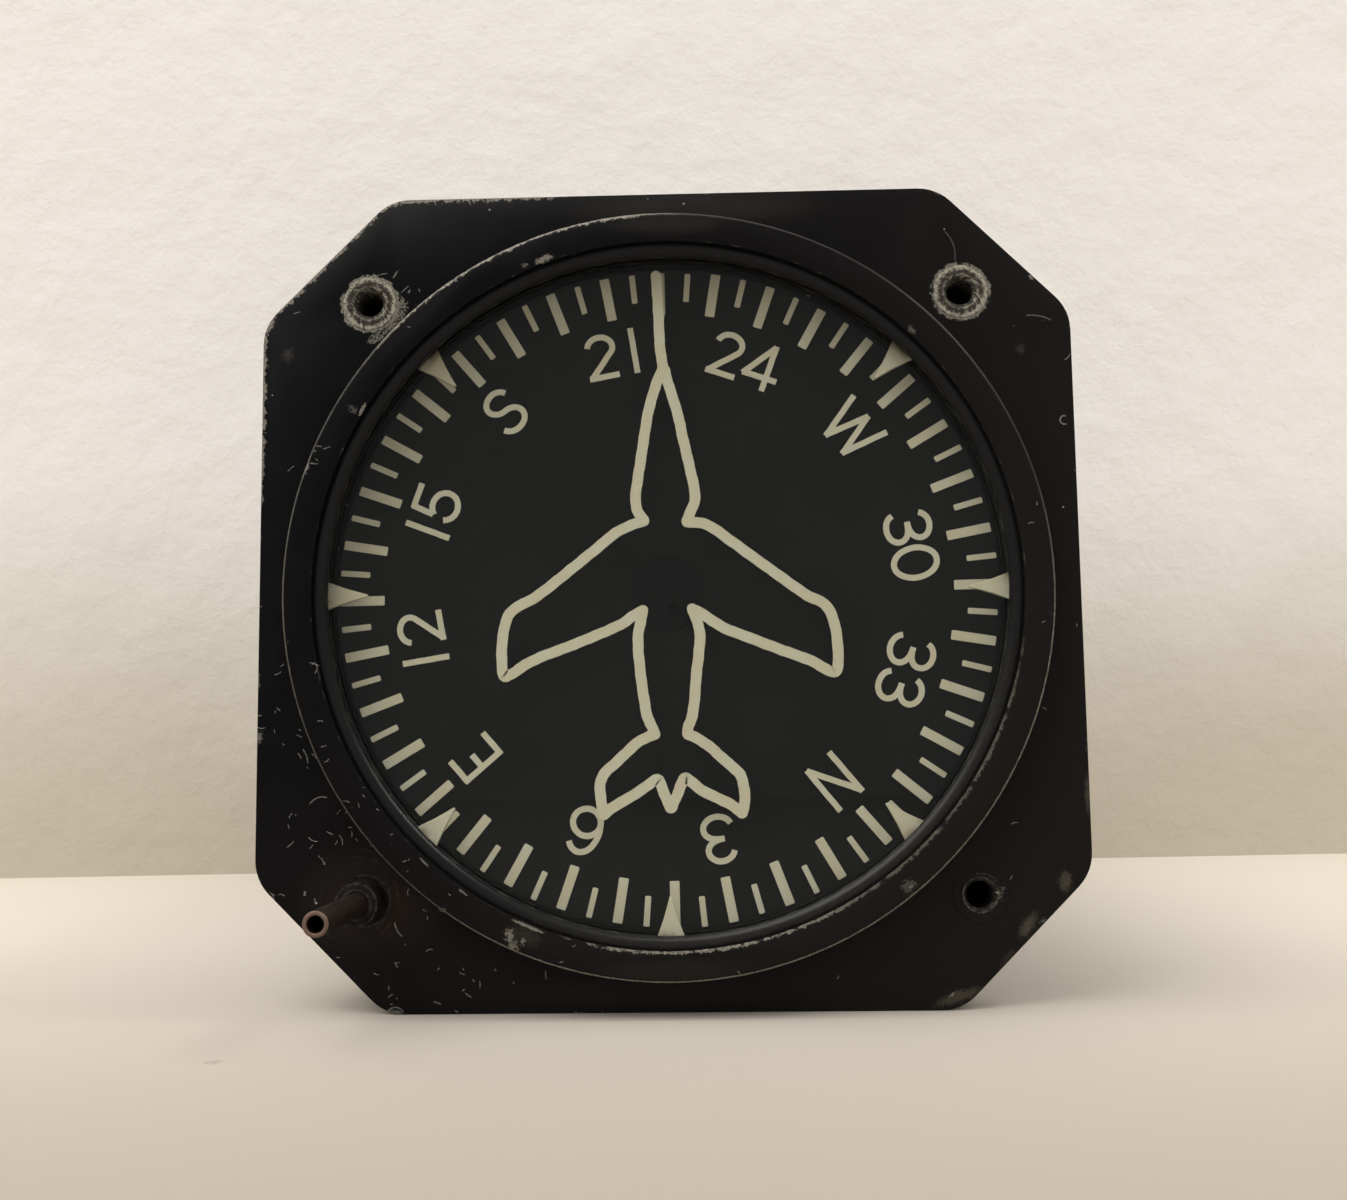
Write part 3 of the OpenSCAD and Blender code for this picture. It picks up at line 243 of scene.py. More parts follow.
def make_place_group():
    """Where a point is, in millimetres: as a vector, round the dial axis, and flattened as a skin."""
    gives = ("Place", "Radius", "Turn", "Back", "Skin")
    board, _, out = new_shader_group("Place on the instrument", {}, gives)
    spot = board.add("ShaderNodeTexCoord").outputs["Object"]
    place = board.vector("SCALE", spot, scale=1000.0)
    x, y, z = board.xyz(place)
    radius = board.hypotenuse(x, z)
    turn = board.math("ARCTAN2", x, z)
    flat = board.joined(x, z)
    wound = board.joined(board.times(turn, BARREL_R), y)
    behind = board.math("GREATER_THAN", y, FLANGE_T + 0.2)
    skin = board.add("ShaderNodeMix", {0: behind, 4: flat, 5: wound}, data_type="VECTOR").outputs[1]
    for label, value in zip(gives, (place, radius, turn, y, skin)):
        board.feed(out.inputs[label], value)


def make_broken_edge_group():
    """Wear along an edge: full at distance 0, ragged at its border and missing in places."""
    takes = {"Place": None, "Distance": 0.0, "Width": 0.3, "Cover": 0.6, "Grain": 2.0, "Ragged": 1.0}
    board, given, out = new_shader_group("Broken edge", takes)
    fine = board.noise(given["Place"], given["Grain"], 4.0, 0.7)
    swell = board.scale(board.step(fine, 0.34, 0.66), -0.85, 0.5)
    reach = board.times(given["Width"], board.times_plus(swell, given["Ragged"], 1.0))
    near = board.step(given["Distance"], reach, board.times(reach, 0.55))
    limit = board.scale(given["Cover"], 0.78, 0.22)
    coarse = board.noise(given["Place"], board.times(given["Grain"], 0.22), 3.0, 0.6)
    gate = board.step(coarse, board.minus(limit, 0.05), board.plus(limit, 0.05))
    board.feed(out.inputs["Mask"], board.times(near, gate))


def make_fleck_group():
    """Short, slightly bent strokes such as scratches and lint, one to a cell, turned at random."""
    takes = {"Skin": None, "Cell": 4.0, "Length": 1.2, "Width": 0.05, "Share": 0.3, "Bend": 0.3}
    board, given, out = new_shader_group("Flecks", takes)
    cells = board.vector("SCALE", given["Skin"], scale=board.math("DIVIDE", 1.0, given["Cell"]))
    feeds = {"Vector": cells, "Scale": 1.0}
    found = board.add("ShaderNodeTexVoronoi", feeds, voronoi_dimensions="2D").outputs
    local = board.vector("SCALE", board.vector("SUBTRACT", cells, found["Position"]), scale=given["Cell"])
    first, second, third = board.parts(found["Color"])
    feeds = {"Vector": local, "Angle": board.times(first, math.tau)}
    turned = board.add("ShaderNodeVectorRotate", feeds, rotation_type="Z_AXIS").outputs[0]
    along, across, _ = board.xyz(turned)
    bow = board.times(board.times(along, along), board.minus(second, 0.5))
    across = board.absolute(board.times_plus(bow, given["Bend"], across))
    half = board.times(given["Length"], board.scale(second, 0.2, 0.5))
    thin = board.step(across, given["Width"], board.times(given["Width"], 0.3))
    short = board.step(board.absolute(along), half, board.times(half, 0.7))
    kept = board.math("LESS_THAN", third, given["Share"])
    board.feed(out.inputs["Mask"], board.times(board.times(thin, short), kept))


def make_speck_group():
    """Small round specks of dust or chipped paint."""
    board, given, out = new_shader_group("Specks", {"Place": None, "Cell": 3.0, "Size": 0.1, "Share": 0.3})
    cells = board.vector("SCALE", given["Place"], scale=board.math("DIVIDE", 1.0, given["Cell"]))
    found = board.add("ShaderNodeTexVoronoi", {"Vector": cells, "Scale": 1.0}).outputs
    size, kept, _ = board.parts(found["Color"])
    reach = board.times(given["Size"], board.scale(size, 0.3, 1.0))
    distance = board.times(found["Distance"], given["Cell"])
    spot = board.step(distance, reach, board.times(reach, 0.6))
    board.feed(out.inputs["Mask"], board.times(spot, board.math("LESS_THAN", kept, given["Share"])))


def off_centre(board, given):
    """Where a point is from the centre of a mark: along its direction and across it."""
    turn = board.math("RADIANS", given["Turn"])
    right, up = board.math("COSINE", turn), board.math("SINE", turn)
    dx = board.minus(given["Across"], given["Centre across"])
    dz = board.minus(given["Up"], given["Centre up"])
    if "Ragged" in given.keys():
        dx = board.times_plus(given["Shake"], given["Ragged"], dx)
        dz = board.times_plus(given["Sway"], given["Ragged"], dz)
    along = board.times_plus(dx, right, board.times(dz, up))
    across = board.minus(board.times(dz, right), board.times(dx, up))
    return along, across


MARK_SOCKETS = dict.fromkeys(("Across", "Up", "Off", "Centre across", "Centre up", "Turn"), 0.0)


def make_patch_group():
    """One ragged patch round a centre, drawn out along a direction, such as a chip or a stain.

    Off is the square of the distance off the face that carries the patch. Shake and Sway move its
    border to and fro. The sums are plain numbers, as vectors would fill the shader's memory.
    """
    takes = MARK_SOCKETS | {"Shake": 0.0, "Sway": 0.0, "Ragged": 1.0, "Size": 1.0, "Long": 1.0,
                            "Soft": 0.25}
    board, given, out = new_shader_group("Patch", takes)
    along, across = off_centre(board, given)
    along = board.math("DIVIDE", along, given["Long"])
    square = board.times_plus(across, across, given["Off"])
    away = board.root(board.times_plus(along, along, square))
    inner = board.times(given["Size"], board.minus(1.0, given["Soft"]))
    board.feed(out.inputs["Mask"], board.step(away, given["Size"], inner))


def make_hair_group():
    """A thin bent stroke, part of a circle: Turn is its middle and Sweep its half length in degrees."""
    takes = MARK_SOCKETS | {"Radius": 1.0, "Sweep": 30.0, "Width": 0.06}
    board, given, out = new_shader_group("Hair", takes)
    along, across = off_centre(board, given)
    off = board.minus(board.hypotenuse(along, across), given["Radius"])
    away = board.root(board.times_plus(off, off, given["Off"]))
    thin = board.step(away, given["Width"], board.times(given["Width"], 0.3))
    sweep = board.math("RADIANS", given["Sweep"])
    angle = board.absolute(board.math("ARCTAN2", across, along))
    short = board.step(angle, sweep, board.times(sweep, 0.8))
    board.feed(out.inputs["Mask"], board.times(thin, short))


def make_grain_group():
    """Unevenness of a painted, cast or moulded face, as a height and as a tone."""
    takes = {"Place": None, "Fine": 6.0, "Coarse": 0.4, "Share": 0.5}
    board, given, out = new_shader_group("Grain", takes, ("Height", "Tone"))
    fine = board.noise(given["Place"], given["Fine"], 3.0, 0.6)
    coarse = board.noise(given["Place"], given["Coarse"], 4.0, 0.6)
    height = board.add("ShaderNodeMix", {0: given["Share"], 2: coarse, 3: fine}).outputs[0]
    board.feed(out.inputs["Height"], height)
    board.feed(out.inputs["Tone"], board.step(coarse, 0.3, 0.7))


def make_shader_groups():
    make_place_group()
    make_broken_edge_group()
    make_fleck_group()
    make_speck_group()
    make_patch_group()
    make_hair_group()
    make_grain_group()


class Surface(Board):
    """The board of a material with one Principled shader, and where a point is on the instrument."""

    def __init__(self, name, specular=0.5, placed=True):
        self.material = bpy.data.materials.new(name)
        self.material.use_nodes = True
        self.material.node_tree.nodes.clear()
        super().__init__(self.material.node_tree)
        self.shader = self.add("ShaderNodeBsdfPrincipled")
        self.shader.inputs["Specular IOR Level"].default_value = specular
        self.output = self.add("ShaderNodeOutputMaterial", {"Surface": self.shader.outputs[0]})
        if placed:
            self.at = self.group("Place on the instrument")

    def edge_distance(self, edge_r, edge_back):
        """Distance in millimetres from a round edge of radius edge_r at depth edge_back."""
        out = self.minus(self.at["Radius"], edge_r)
        deep = self.minus(self.at["Back"], edge_back)
        return self.hypotenuse(out, deep)

    def zone(self, middle, low, high):
        """1 round a heading on the dial and 0 away from it; low and high are cosines of the angle off."""
        off = self.minus(self.at["Turn"], math.radians(middle))
        return self.step(self.math("COSINE", off), low, high)

    def show_through(self, where, tint):
        """Makes the material clear, with a tint, for the rays that where picks out."""
        clear = self.add("ShaderNodeBsdfTransparent", {"Color": tint})
        mixed = self.add("ShaderNodeMixShader", {0: where, 1: self.shader.outputs[0], 2: clear.outputs[0]})
        self.feed(self.output.inputs["Surface"], mixed.outputs[0])

    def dress(self, base, rough, height=None, depth=0.02, metal=None):
        """Feeds the shader's colour, roughness, metal and bump; depth is in millimetres."""
        self.feed(self.shader.inputs["Base Color"], base)
        self.feed(self.shader.inputs["Roughness"], rough)
        if metal is not None:
            self.feed(self.shader.inputs["Metallic"], metal)
        if height is not None:
            feeds = {"Height": height, "Strength": 1.0, "Distance": depth * MM}
            self.feed(self.shader.inputs["Normal"], self.add("ShaderNodeBump", feeds).outputs[0])
        return self.material


# Bare chips in the front paint: across, depth, up, half width, length ratio, slope in degrees
# (anticlockwise as the pilot sees it), raggedness and strength; the lengths are in millimetres
CHIPS = [
    # On the land of the bezel and along its edges
    (-12.3, -4.0, 34.5, 0.36, 3.0, 20, 0.5, 1.0), (-14.3, -4.0, 33.9, 0.2, 1.8, 22, 0.5, 0.6),
    (-31.1, -4.0, 19.0, 0.2, 4.2, 65, 0.3, 1.0), (-32.1, -4.0, 19.0, 0.3, 1.5, 130, 0.8, 0.35),
    (-28.9, -4.0, 26.6, 0.28, 4.6, 50, 0.5, 1.0), (-36.9, -4.0, 13.1, 0.24, 4.0, 72, 0.7, 1.0),
    (-35.6, -4.0, 15.2, 0.07, 5.0, -8, 0.1, 0.7), (-34.8, -4.0, 15.0, 0.07, 6.5, 18, 0.1, 0.6),
    (-36.1, -4.0, 14.7, 0.08, 4.0, 0, 0.1, 0.6), (-35.8, -4.0, 13.8, 0.07, 3.4, -37, 0.1, 0.5),
    (-36.1, -4.0, 13.4, 0.08, 6.0, -8, 0.1, 0.8), (31.4, -4.0, 23.8, 0.12, 4.0, 128, 0.2, 1.0),
    (34.8, -4.0, 18.8, 0.15, 1.0, 0, 0.1, 1.0), (36.8, -4.0, 14.2, 0.12, 3.0, 105, 0.3, 0.9),
    (25.6, -4.0, 26.2, 0.26, 2.0, 125, 0.7, 0.4), (23.7, -4.0, -30.0, 0.55, 1.3, 40, 1.2, 0.3),
    (23.9, -4.0, -30.1, 0.14, 1.6, 40, 0.3, 0.8), (-14.1, -4.0, -33.6, 0.17, 11.0, 157, 0.3, 1.0),
    (-15.9, -4.0, -34.5, 0.4, 1.6, 100, 1.2, 1.0), (-15.6, -4.0, -35.6, 0.45, 1.5, 60, 1.4, 0.9),
    (-16.4, -4.0, -35.9, 0.3, 3.0, 155, 0.8, 0.8), (-14.6, -4.0, -35.0, 0.2, 1.4, 20, 0.5, 0.8),
    (-24.5, -4.0, -27.2, 0.1, 7.0, 134, 0.2, 0.7), (-20.6, -4.0, -30.2, 0.1, 5.0, 144, 0.2, 0.8),
    # On the flange: round the upper left insert, along the edges and in the corners
    (-28.7, 0.0, 34.6, 0.09, 6.0, 60, 0.2, 0.7),
    (-27.2, 0.0, 32.7, 0.13, 2.0, 60, 0.3, 1.0), (-26.1, 0.0, 32.8, 0.1, 2.0, 110, 0.3, 0.8),
    (-28.2, 0.0, -42.6, 0.3, 2.5, 170, 0.8, 0.6), (-23.9, 0.0, -41.7, 0.1, 5.0, 160, 0.2, 0.5),
    (-42.6, 0.0, -14.6, 0.24, 3.0, 80, 0.9, 0.7), (28.2, 0.0, -41.3, 0.12, 3.5, 30, 0.3, 0.9),
    (37.6, 0.0, -34.1, 0.25, 1.6, 45, 0.8, 0.5), (38.9, 0.0, 32.8, 0.2, 1.8, 135, 0.5, 0.8),
    (-37.6, 0.0, -30.6, 0.1, 3.0, 70, 0.2, 1.0), (-35.1, 0.0, -24.5, 0.08, 5.5, 152, 0.1, 0.8),
]

# The mottled scrape beside the upper left insert, in the same order
SCRAPED = [
    (-28.5, 0.0, 31.2, 1.1, 1.3, 120, 0.9, 0.8), (-29.2, 0.0, 29.4, 1.1, 1.6, 40, 1.0, 0.75),
    (-30.6, 0.0, 27.8, 0.45, 3.0, 30, 0.6, 0.8),
]

# Places where the paint is rubbed thin and grey-brown, in the same order. The last four rows, wide
# and faint at the top and the bottom, are painted light instead
RUBBED_AND_PAINTED_LIGHT = [
    (40.0, 0.0, -30.2, 0.8, 1.7, 80, 0.9, 1.0), (36.1, 0.0, -34.5, 0.8, 2.4, 55, 0.8, 1.0),
    (28.8, 0.0, -41.5, 0.7, 4.6, 18, 0.9, 0.9), (-40.2, 0.0, 26.0, 0.7, 1.3, 60, 1.2, 0.5),
    (37.5, 0.0, 25.1, 0.45, 1.6, 50, 0.9, 0.5), (-14.3, -4.0, -34.6, 1.1, 1.9, 155, 1.0, 0.3),
    (42.6, 0.0, -21.5, 0.3, 9.0, 90, 0.7, 0.9), (34.0, 0.0, -37.6, 0.5, 3.0, 45, 0.9, 0.35),
    # Painted light: wide, faint lighter bands at the top and the bottom of the flange and the bezel
    (3.0, 0.0, 41.0, 2.6, 6.5, 0, 1.2, 0.24), (1.0, -4.0, 38.0, 1.6, 5.0, 0, 1.0, 0.16),
    (0.0, -4.0, -38.0, 1.6, 6.0, 0, 1.0, 0.1), (-4.0, 0.0, -41.0, 2.0, 8.0, 0, 1.2, 0.08),
]

# Thin bent hairs and scratches: across and up to the centre, radius, middle and half length in
# degrees (anticlockwise from the right), and strength
HAIRS = [
    (27.4, 35.5, 3.6, 17, 30, 0.3), (38.7, 24.5, 4.2, 78, 20, 0.45), (41.8, 17.4, 0.45, 180, 125, 0.9),
    (-26.4, -33.5, 1.9, -152, 28, 0.7), (-28.2, -43.0, 0.9, 90, 75, 0.6), (-37.0, -14.0, 0.7, -90, 55, 0.7),
    (-39.7, -17.3, 2.2, 20, 22, 0.6), (-35.9, -22.4, 1.6, 110, 40, 0.7),
]


class Face:
    """A point on the front of the case, with the noise that makes the marks on it ragged."""

    def __init__(self, board, place, scale):
        self.board = board
        self.x, self.y, self.z = board.xyz(place)
        feeds = {"Vector": place, "Scale": scale, "Detail": 6.0, "Roughness": 0.8}
        shades = board.add("ShaderNodeTexNoise", feeds).outputs["Color"]
        first, second, self.lumps = board.parts(shades)
        self.shake = board.times_plus(first, 3.0, -1.5)
        self.sway = board.times_plus(second, 3.0, -1.5)
        self.off = {deep: self.square_off(deep) for deep in (BEZEL_FRONT, 0.0)}

    def square_off(self, deep):
        away = self.board.minus(self.y, deep)
        return self.board.times(away, away)

    def mark(self, kind, deep, across, up, turn, **shape):
        """The mask of one mark; across and up are its centre, and turn its direction in degrees."""
        feeds = {"Across": self.x, "Up": self.z, "Off": self.off[deep], "Centre across": across,
                 "Centre up": up, "Turn": turn}
        return self.board.group(kind, feeds | shape)["Mask"]

    def patch(self, across, deep, up, size, long, turn, ragged, soft=0.25):
        return self.mark("Patch", deep, across, up, turn, Shake=self.shake, Sway=self.sway, Ragged=ragged,
                         Size=size, Long=long, Soft=soft)

    def hair(self, across, up, radius, turn, sweep, width=0.1):
        return self.mark("Hair", 0.0, across, up, turn, Radius=radius, Sweep=sweep, Width=width)

    def gathered(self, one, rows, *more):
        """All the marks of a list as one mask, gathered one by one as the shader's memory is small."""
        found = 0.0
        for *shape, strength in rows:
            found = self.board.math("MAXIMUM", self.board.times(one(*shape, *more), strength), found)
        return found


def make_enamel(finish):
    """Satin black enamel on the casting, worn to bare metal at its edges, scratched and dusty."""
    board = Surface("Worn black enamel", 0.17)
    place, _, _, back, skin = board.at
    face = Face(board, place, 3.2)
    x, z = face.x, face.z
    crumbs = board.noise(place, 5.5, 4.0, 0.7)

    # Edges of the bezel: a thin worn line outside, ragged at the upper left, and a rougher one
    # inside. How bright they are is painted highlight: the outer line at the upper left, the inner one at
    # the bottom
    upper_left = board.zone(-25, 0.86, 0.96)
    lower = board.zone(153, 0.15, 0.75)
    outer = board.edge_distance(BEZEL_R - 0.17, BEZEL_FRONT + 0.17)
    line = board.broken_edge(place, outer, board.scale(upper_left, 0.15, 0.36),
                             board.scale(board.most(upper_left, lower), 0.85, 0.97), 1.6,
                             board.scale(upper_left, 0.35, 1.0))
    left = board.times(board.step(x, 10.0, -30.0), 0.3)
    painted_edge_highlight = board.most(upper_left, board.times(lower, 0.8), left)
    bezel_outer = board.times(line, board.scale(painted_edge_highlight, 0.07, 0.85))
    low = board.zone(149, 0.55, 0.85)
    bottom = board.zone(178, 0.86, 0.97)
    inner = board.edge_distance(BORE_R + 0.1, BEZEL_FRONT + 0.05)
    worn_inner = board.broken_edge(place, inner, board.scale(low, 0.1, 0.24), board.scale(low, 0.3, 0.68),
                                   2.4)
    painted_edge_highlight = board.plus(board.scale(low, 0.12, 0.32), board.times(bottom, 0.5))
    bezel_inner = board.times(worn_inner, painted_edge_highlight)

    # Edges of the flange, by their distance inside the clipped square with its rounded corners
    across, up = board.absolute(x), board.absolute(z)
    diagonal = board.times(board.plus(across, up), math.sqrt(0.5))
    to_side = board.plus(board.math("MAXIMUM", across, up), CORNER_ROUND - HALF_WIDTH)
    to_clip = board.plus(diagonal, CORNER_ROUND - CLIP)
    far = board.most(to_side, to_clip, 0.0)
    least = board.times(far, math.sqrt(0.5))
    less = board.math("MAXIMUM", board.math("MINIMUM", to_side, to_clip), least)
    square = board.plus(board.times(far, far), board.times(less, less))
    square = board.times_plus(board.times(far, less), -math.sqrt(2), square)
    inside = board.minus(CORNER_ROUND, board.root(board.times(square, 2.0)))
    to_front = board.absolute(back)
    to_back = board.absolute(board.minus(back, FLANGE_T))
    top_left = board.step(board.minus(z, x), 48.0, 62.0)
    rims = [board.broken_edge(place, board.hypotenuse(inside, away), board.scale(top_left, width, 0.5),
                              board.scale(top_left, cover, 0.85), 1.3)
            for away, width, cover in ((to_front, 0.24, 0.24), (to_back, 0.34, 0.45))]
    rims = board.times(board.most(*rims), board.scale(top_left, 0.42, 0.7))
    chips = board.times(face.gathered(face.patch, CHIPS, 0.18), board.step(crumbs, 0.34, 0.5))
    scraped = board.times(face.gathered(face.patch, SCRAPED), board.step(face.lumps, 0.45, 0.52))
    chips = board.times(board.most(chips, scraped), 0.9)

    # Paint torn round the mounting inserts, but not round the adjuster
    from_hole = board.hypotenuse(board.minus(across, HOLE), board.minus(up, HOLE))
    to_insert = board.absolute(board.minus(from_hole, 2.95))
    torn = board.broken_edge(place, board.hypotenuse(to_insert, to_front), 0.3, 0.62, 1.7)
    torn = board.times(board.times(torn, board.step(z, -10.0, 10.0)), 0.75)

    # Scratches, lint and dust: thick with curls at the lower left, sparse specks at the upper right
    below = board.step(board.plus(x, board.times(z, 0.8)), -34.0, -52.0)
    right = board.step(x, 5.0, 25.0)
    flecks = board.flecks(skin, 6.0, 1.8, 0.05, board.scale(right, 0.12, 0.03), 0.5)
    flecks = board.most(flecks, face.gathered(face.hair, HAIRS))
    bunched = board.step(board.noise(place, 0.22, 3.0, 0.6), 0.46, 0.6)
    curls = board.flecks(skin, 1.9, 1.5, 0.055, board.times(board.scale(below, 0.03, 0.42), bunched), 2.2)
    moved = board.vector("ADD", skin, (3.3, 7.7, 0.0))
    bits = board.flecks(moved, 1.1, 0.8, 0.05, board.times(board.scale(below, 0.015, 0.22), bunched), 1.0)
    specks = board.specks(place, 2.6, 0.14, 0.16)
    dust = board.specks(place, 0.8, 0.07, 0.12)
    faded = board.scale(board.step(crumbs, 0.35, 0.6), 0.25, 0.9)
    strokes = board.times(board.most(flecks, curls, bits), faded)
    light = board.times(board.most(strokes, specks), finish.scratches)
    worn = board.most(bezel_outer, bezel_inner, rims, chips, torn)
    bare = board.times(worn, finish.edge_wear)

    # The finish itself, with painted light and shade: dark at the upper left, lighter and a little
    # warmer to the right. Then rubbed grey, and stained brown at the adjuster
    grain = board.grain(place, 5.0, 0.09, 0.6)
    painted_light_side = board.step(board.times_plus(z, -0.6, board.times(x, 0.8)), -45.0, 42.0)
    paint = board.tint(painted_light_side, finish.enamel, finish.enamel_painted_light)
    paint = board.tint(board.times(grain["Tone"], 0.25), paint, SHADES["cloud"])
    # Rubbed patches, and the painted light of the wide bands at the top and the bottom
    rubbed = board.times(face.gathered(face.patch, RUBBED_AND_PAINTED_LIGHT, 0.7), 0.7)
    paint = board.tint(rubbed, paint, SHADES["rubbed"])
    around = board.vector("LENGTH", board.vector("SUBTRACT", place, (-32.4, 0.0, -31.3)))
    rings = board.math("SINE", board.times(board.plus(around, crumbs), 8.0))
    rings = board.times(board.step(rings, 0.75, 1.0), board.step(around, 5.6, 4.6))
    stain = face.patch(-30.6, 0.0, -31.4, 7.5, 1.3, 0.0, 2.5, 0.9)
    paint = board.tint(board.times(stain, 0.6), paint, SHADES["stain"])
    paint = board.tint(board.times(board.times(rings, bunched), 0.3), paint, SHADES["dried"])
    paint = board.tint(board.times(dust, 0.22), paint, SHADES["dust"])
    paint = board.tint(light, paint, SHADES["scratch"])
    metal = board.tint(board.step(crumbs, 0.4, 0.62), SHADES["bare"], SHADES["bare_dull"])
    base = board.tint(bare, paint, metal)
    smear = board.noise(place, 0.16, 5.0, 0.7)
    rough = board.times_plus(bare, 0.12, board.scale(board.step(smear, 0.3, 0.7), 0.34, 0.46))
    height = board.times_plus(grain["Height"], 0.3, board.times(bare, -1.0))
    height = board.minus(height, board.times(light, 0.3))
    return board.dress(base, rough, height, 0.02, board.times(bare, 0.3))


def make_barrel_enamel(finish):
    """The same enamel on the rear cover, with wear at its rim."""
    board = Surface("Rear cover enamel", 0.34)
    rim = board.edge_distance(BARREL_R - 0.4, COVER_BACK - 0.4)
    worn = board.broken_edge(board.at["Place"], rim, 0.7, 0.5, 1.1)
    scratches = board.flecks(board.at["Skin"], 8.0, 3.2, 0.06, 0.25, 0.3)
    specks = board.specks(board.at["Place"], 3.0, 0.12, 0.2)
    grain = board.grain(board.at["Place"], 4.0, 0.1, 0.6)
    paint = board.tint(grain["Tone"], finish.enamel, SHADES["cover_cloud"])
    paint = board.tint(board.times(board.most(scratches, specks), 0.5), paint, SHADES["cover_scratch"])
    base = board.tint(board.times(worn, finish.edge_wear), paint, SHADES["cover_bare"])
    rough = board.scale(grain["Tone"], 0.42, 0.56)
    return board.dress(base, rough, grain["Height"], 0.03, board.times(worn, 0.4))


def make_scraped_alloy(finish):
    """Bare metal of the mounting inserts, scraped round by screws; the lower right one is painted."""
    board = Surface("Scraped insert metal", 0.3)
    place = board.at["Place"]
    face = Face(board, place, 2.3)
    x, y, z, lumps = face.x, face.y, face.z, face.lumps
    dx = board.minus(board.absolute(x), HOLE)
    dz = board.minus(board.absolute(z), HOLE)
    near = board.hypotenuse(dx, dz)
    heading = board.math("ARCTAN2", dx, dz)
    wound = board.joined(board.times(board.math("COSINE", heading), 2.2),
                         board.times(board.math("SINE", heading), 2.2), board.times_plus(near, 1.3, y))
    uneven = board.vector("SCALE", place, scale=1.4)
    scrapes = board.noise(board.vector("ADD", wound, uneven), 1.3, 7.0, 0.8)
    bent = board.times_plus(face.shake, 0.4, near)
    # Brighter along the outer and the inner edge of the face, each by its radius and width
    outer, inner = (board.step(board.absolute(board.minus(bent, r)), wide, 0.0)
                    for r, wide in ((2.66, 0.42), (1.8, 0.2)))
    edges = board.most(outer, board.times(inner, 0.5))
    ridge = board.times_plus(edges, 0.24, scrapes)
    patchy = board.scale(board.step(lumps, 0.4, 0.54), 0.25, 1.0)
    bright = board.times(board.step(ridge, 0.5, 0.7), patchy)
    bare = board.tint(bright, SHADES["insert_dirt"], finish.insert)
    lower_right = board.times(board.step(x, 0.0, 1.0), board.step(z, 0.0, -1.0))
    chipped = face.patch(33.4, 0.0, -31.3, 0.3, 2.8, 76.0, 0.9, 0.3)
    ring = face.hair(HOLE, -HOLE, 2.15, 70.0, 34.0, 0.14)
    rim = board.times(board.step(near, 1.88, 1.78), board.step(lumps, 0.34, 0.5))
    chipped = board.most(chipped, board.times(ring, 0.5), board.times(rim, 0.3))
    painted = board.times(lower_right, board.minus(1.0, chipped))
    deep = board.step(y, 0.5, 3.4)
    # The lower right insert is painted with the enamel's lighter tone of that side, which is painted light
    base = board.tint(painted, bare, finish.enamel_painted_light)
    # Painted shade: nearly black deeper in the bore
    base = board.tint(board.times(deep, 0.93), base, SHADES["insert_painted_shade"])
    metal = board.times(board.times(board.minus(1.0, painted), bright), 0.5)
    return board.dress(base, board.scale(lumps, 0.4, 0.75), ridge, 0.2, metal)


def make_ring_steel(finish):
    """Blackened wire of the retaining ring, lighter grey at the lower right, partly rubbed and partly a
    painted sheen.
    """
    board = Surface("Blackened ring steel", 0.4)
    place = board.at["Place"]
    # Painted sheen with some rubbing: the lighter grey band at the lower right
    low = board.step(board.math("COSINE", board.minus(board.at["Turn"], 2.65)), 0.25, 0.98)
    fine = board.noise(place, 2.4, 5.0, 0.7)
    rubbed = board.step(fine, board.scale(low, 0.6, 0.2), board.scale(low, 0.9, 0.8))
    rubbed = board.times(rubbed, board.scale(low, 0.15, 0.8))
    base = board.tint(rubbed, finish.ring, SHADES["ring_sheen_and_wear"])
    specks = board.specks(place, 1.6, 0.09, 0.2)
    base = board.tint(board.times(specks, 0.4), base, SHADES["ring_speck"])
    return board.dress(base, board.scale(fine, 0.24, 0.42), fine, 0.008, board.times(rubbed, 0.2))


def make_glass(finish):
    """Clear cover glass with a faint film; lamps reach the dial through it."""
    board = Surface("Cover glass", 0.35)
    film = board.step(board.noise(board.at["Place"], 0.12, 5.0, 0.7), 0.4, 0.75)
    motes = board.specks(board.at["Place"], 5.0, 0.09, 0.12)
    rough = board.math("MAXIMUM", board.scale(film, 0.0, 0.05), motes)
    board.shader.inputs["Transmission Weight"].default_value = 1.0
    board.shader.inputs["IOR"].default_value = 1.45
    lamps = board.add("ShaderNodeLightPath").outputs["Is Shadow Ray"]
    board.show_through(lamps, (0.96, 0.97, 0.96))
    return board.dress(finish.glass, rough)


def make_cream_paint(finish, name, dirt):
    """Aged cream paint of the printed marks, mottled, with brown dirt towards the rim of the dial."""
    board = Surface(name, 0.3)
    place = board.at["Place"]
    mottle = board.noise(place, 0.35, 4.0, 0.6)
    fine = board.noise(place, 3.0, 4.0, 0.65)
    base = board.tint(board.step(mottle, 0.35, 0.65), finish.cream, finish.cream_dark)
    base = board.tint(board.times(board.step(fine, 0.6, 0.8), 0.4), base, SHADES["mark_dirt"])
    rim = board.times(board.step(board.at["Radius"], 34.3, 35.6), board.step(mottle, 0.4, 0.62))
    base = board.tint(board.times(rim, dirt), base, SHADES["rim_dirt"])
    return board.dress(base, board.scale(fine, 0.5, 0.72), fine, 0.015)


def make_flat_black(name, shade, fine_scale=7.0):
    """Flat paint of the card, the mask or the hub: a fine tooth, faint cloudiness and a few motes."""
    board = Surface(name, 0.03)
    grain = board.grain(board.at["Place"], fine_scale, 0.07, 0.8)
    lighter = tuple(1.35 * value for value in shade)
    base = board.tint(grain["Tone"], shade, lighter)
    motes = board.specks(board.at["Place"], 2.2, 0.07, 0.1)
    base = board.tint(board.times(motes, 0.35), base, SHADES["mote"])
    return board.dress(base, board.scale(grain["Height"], 0.7, 0.85), grain["Height"], 0.003)


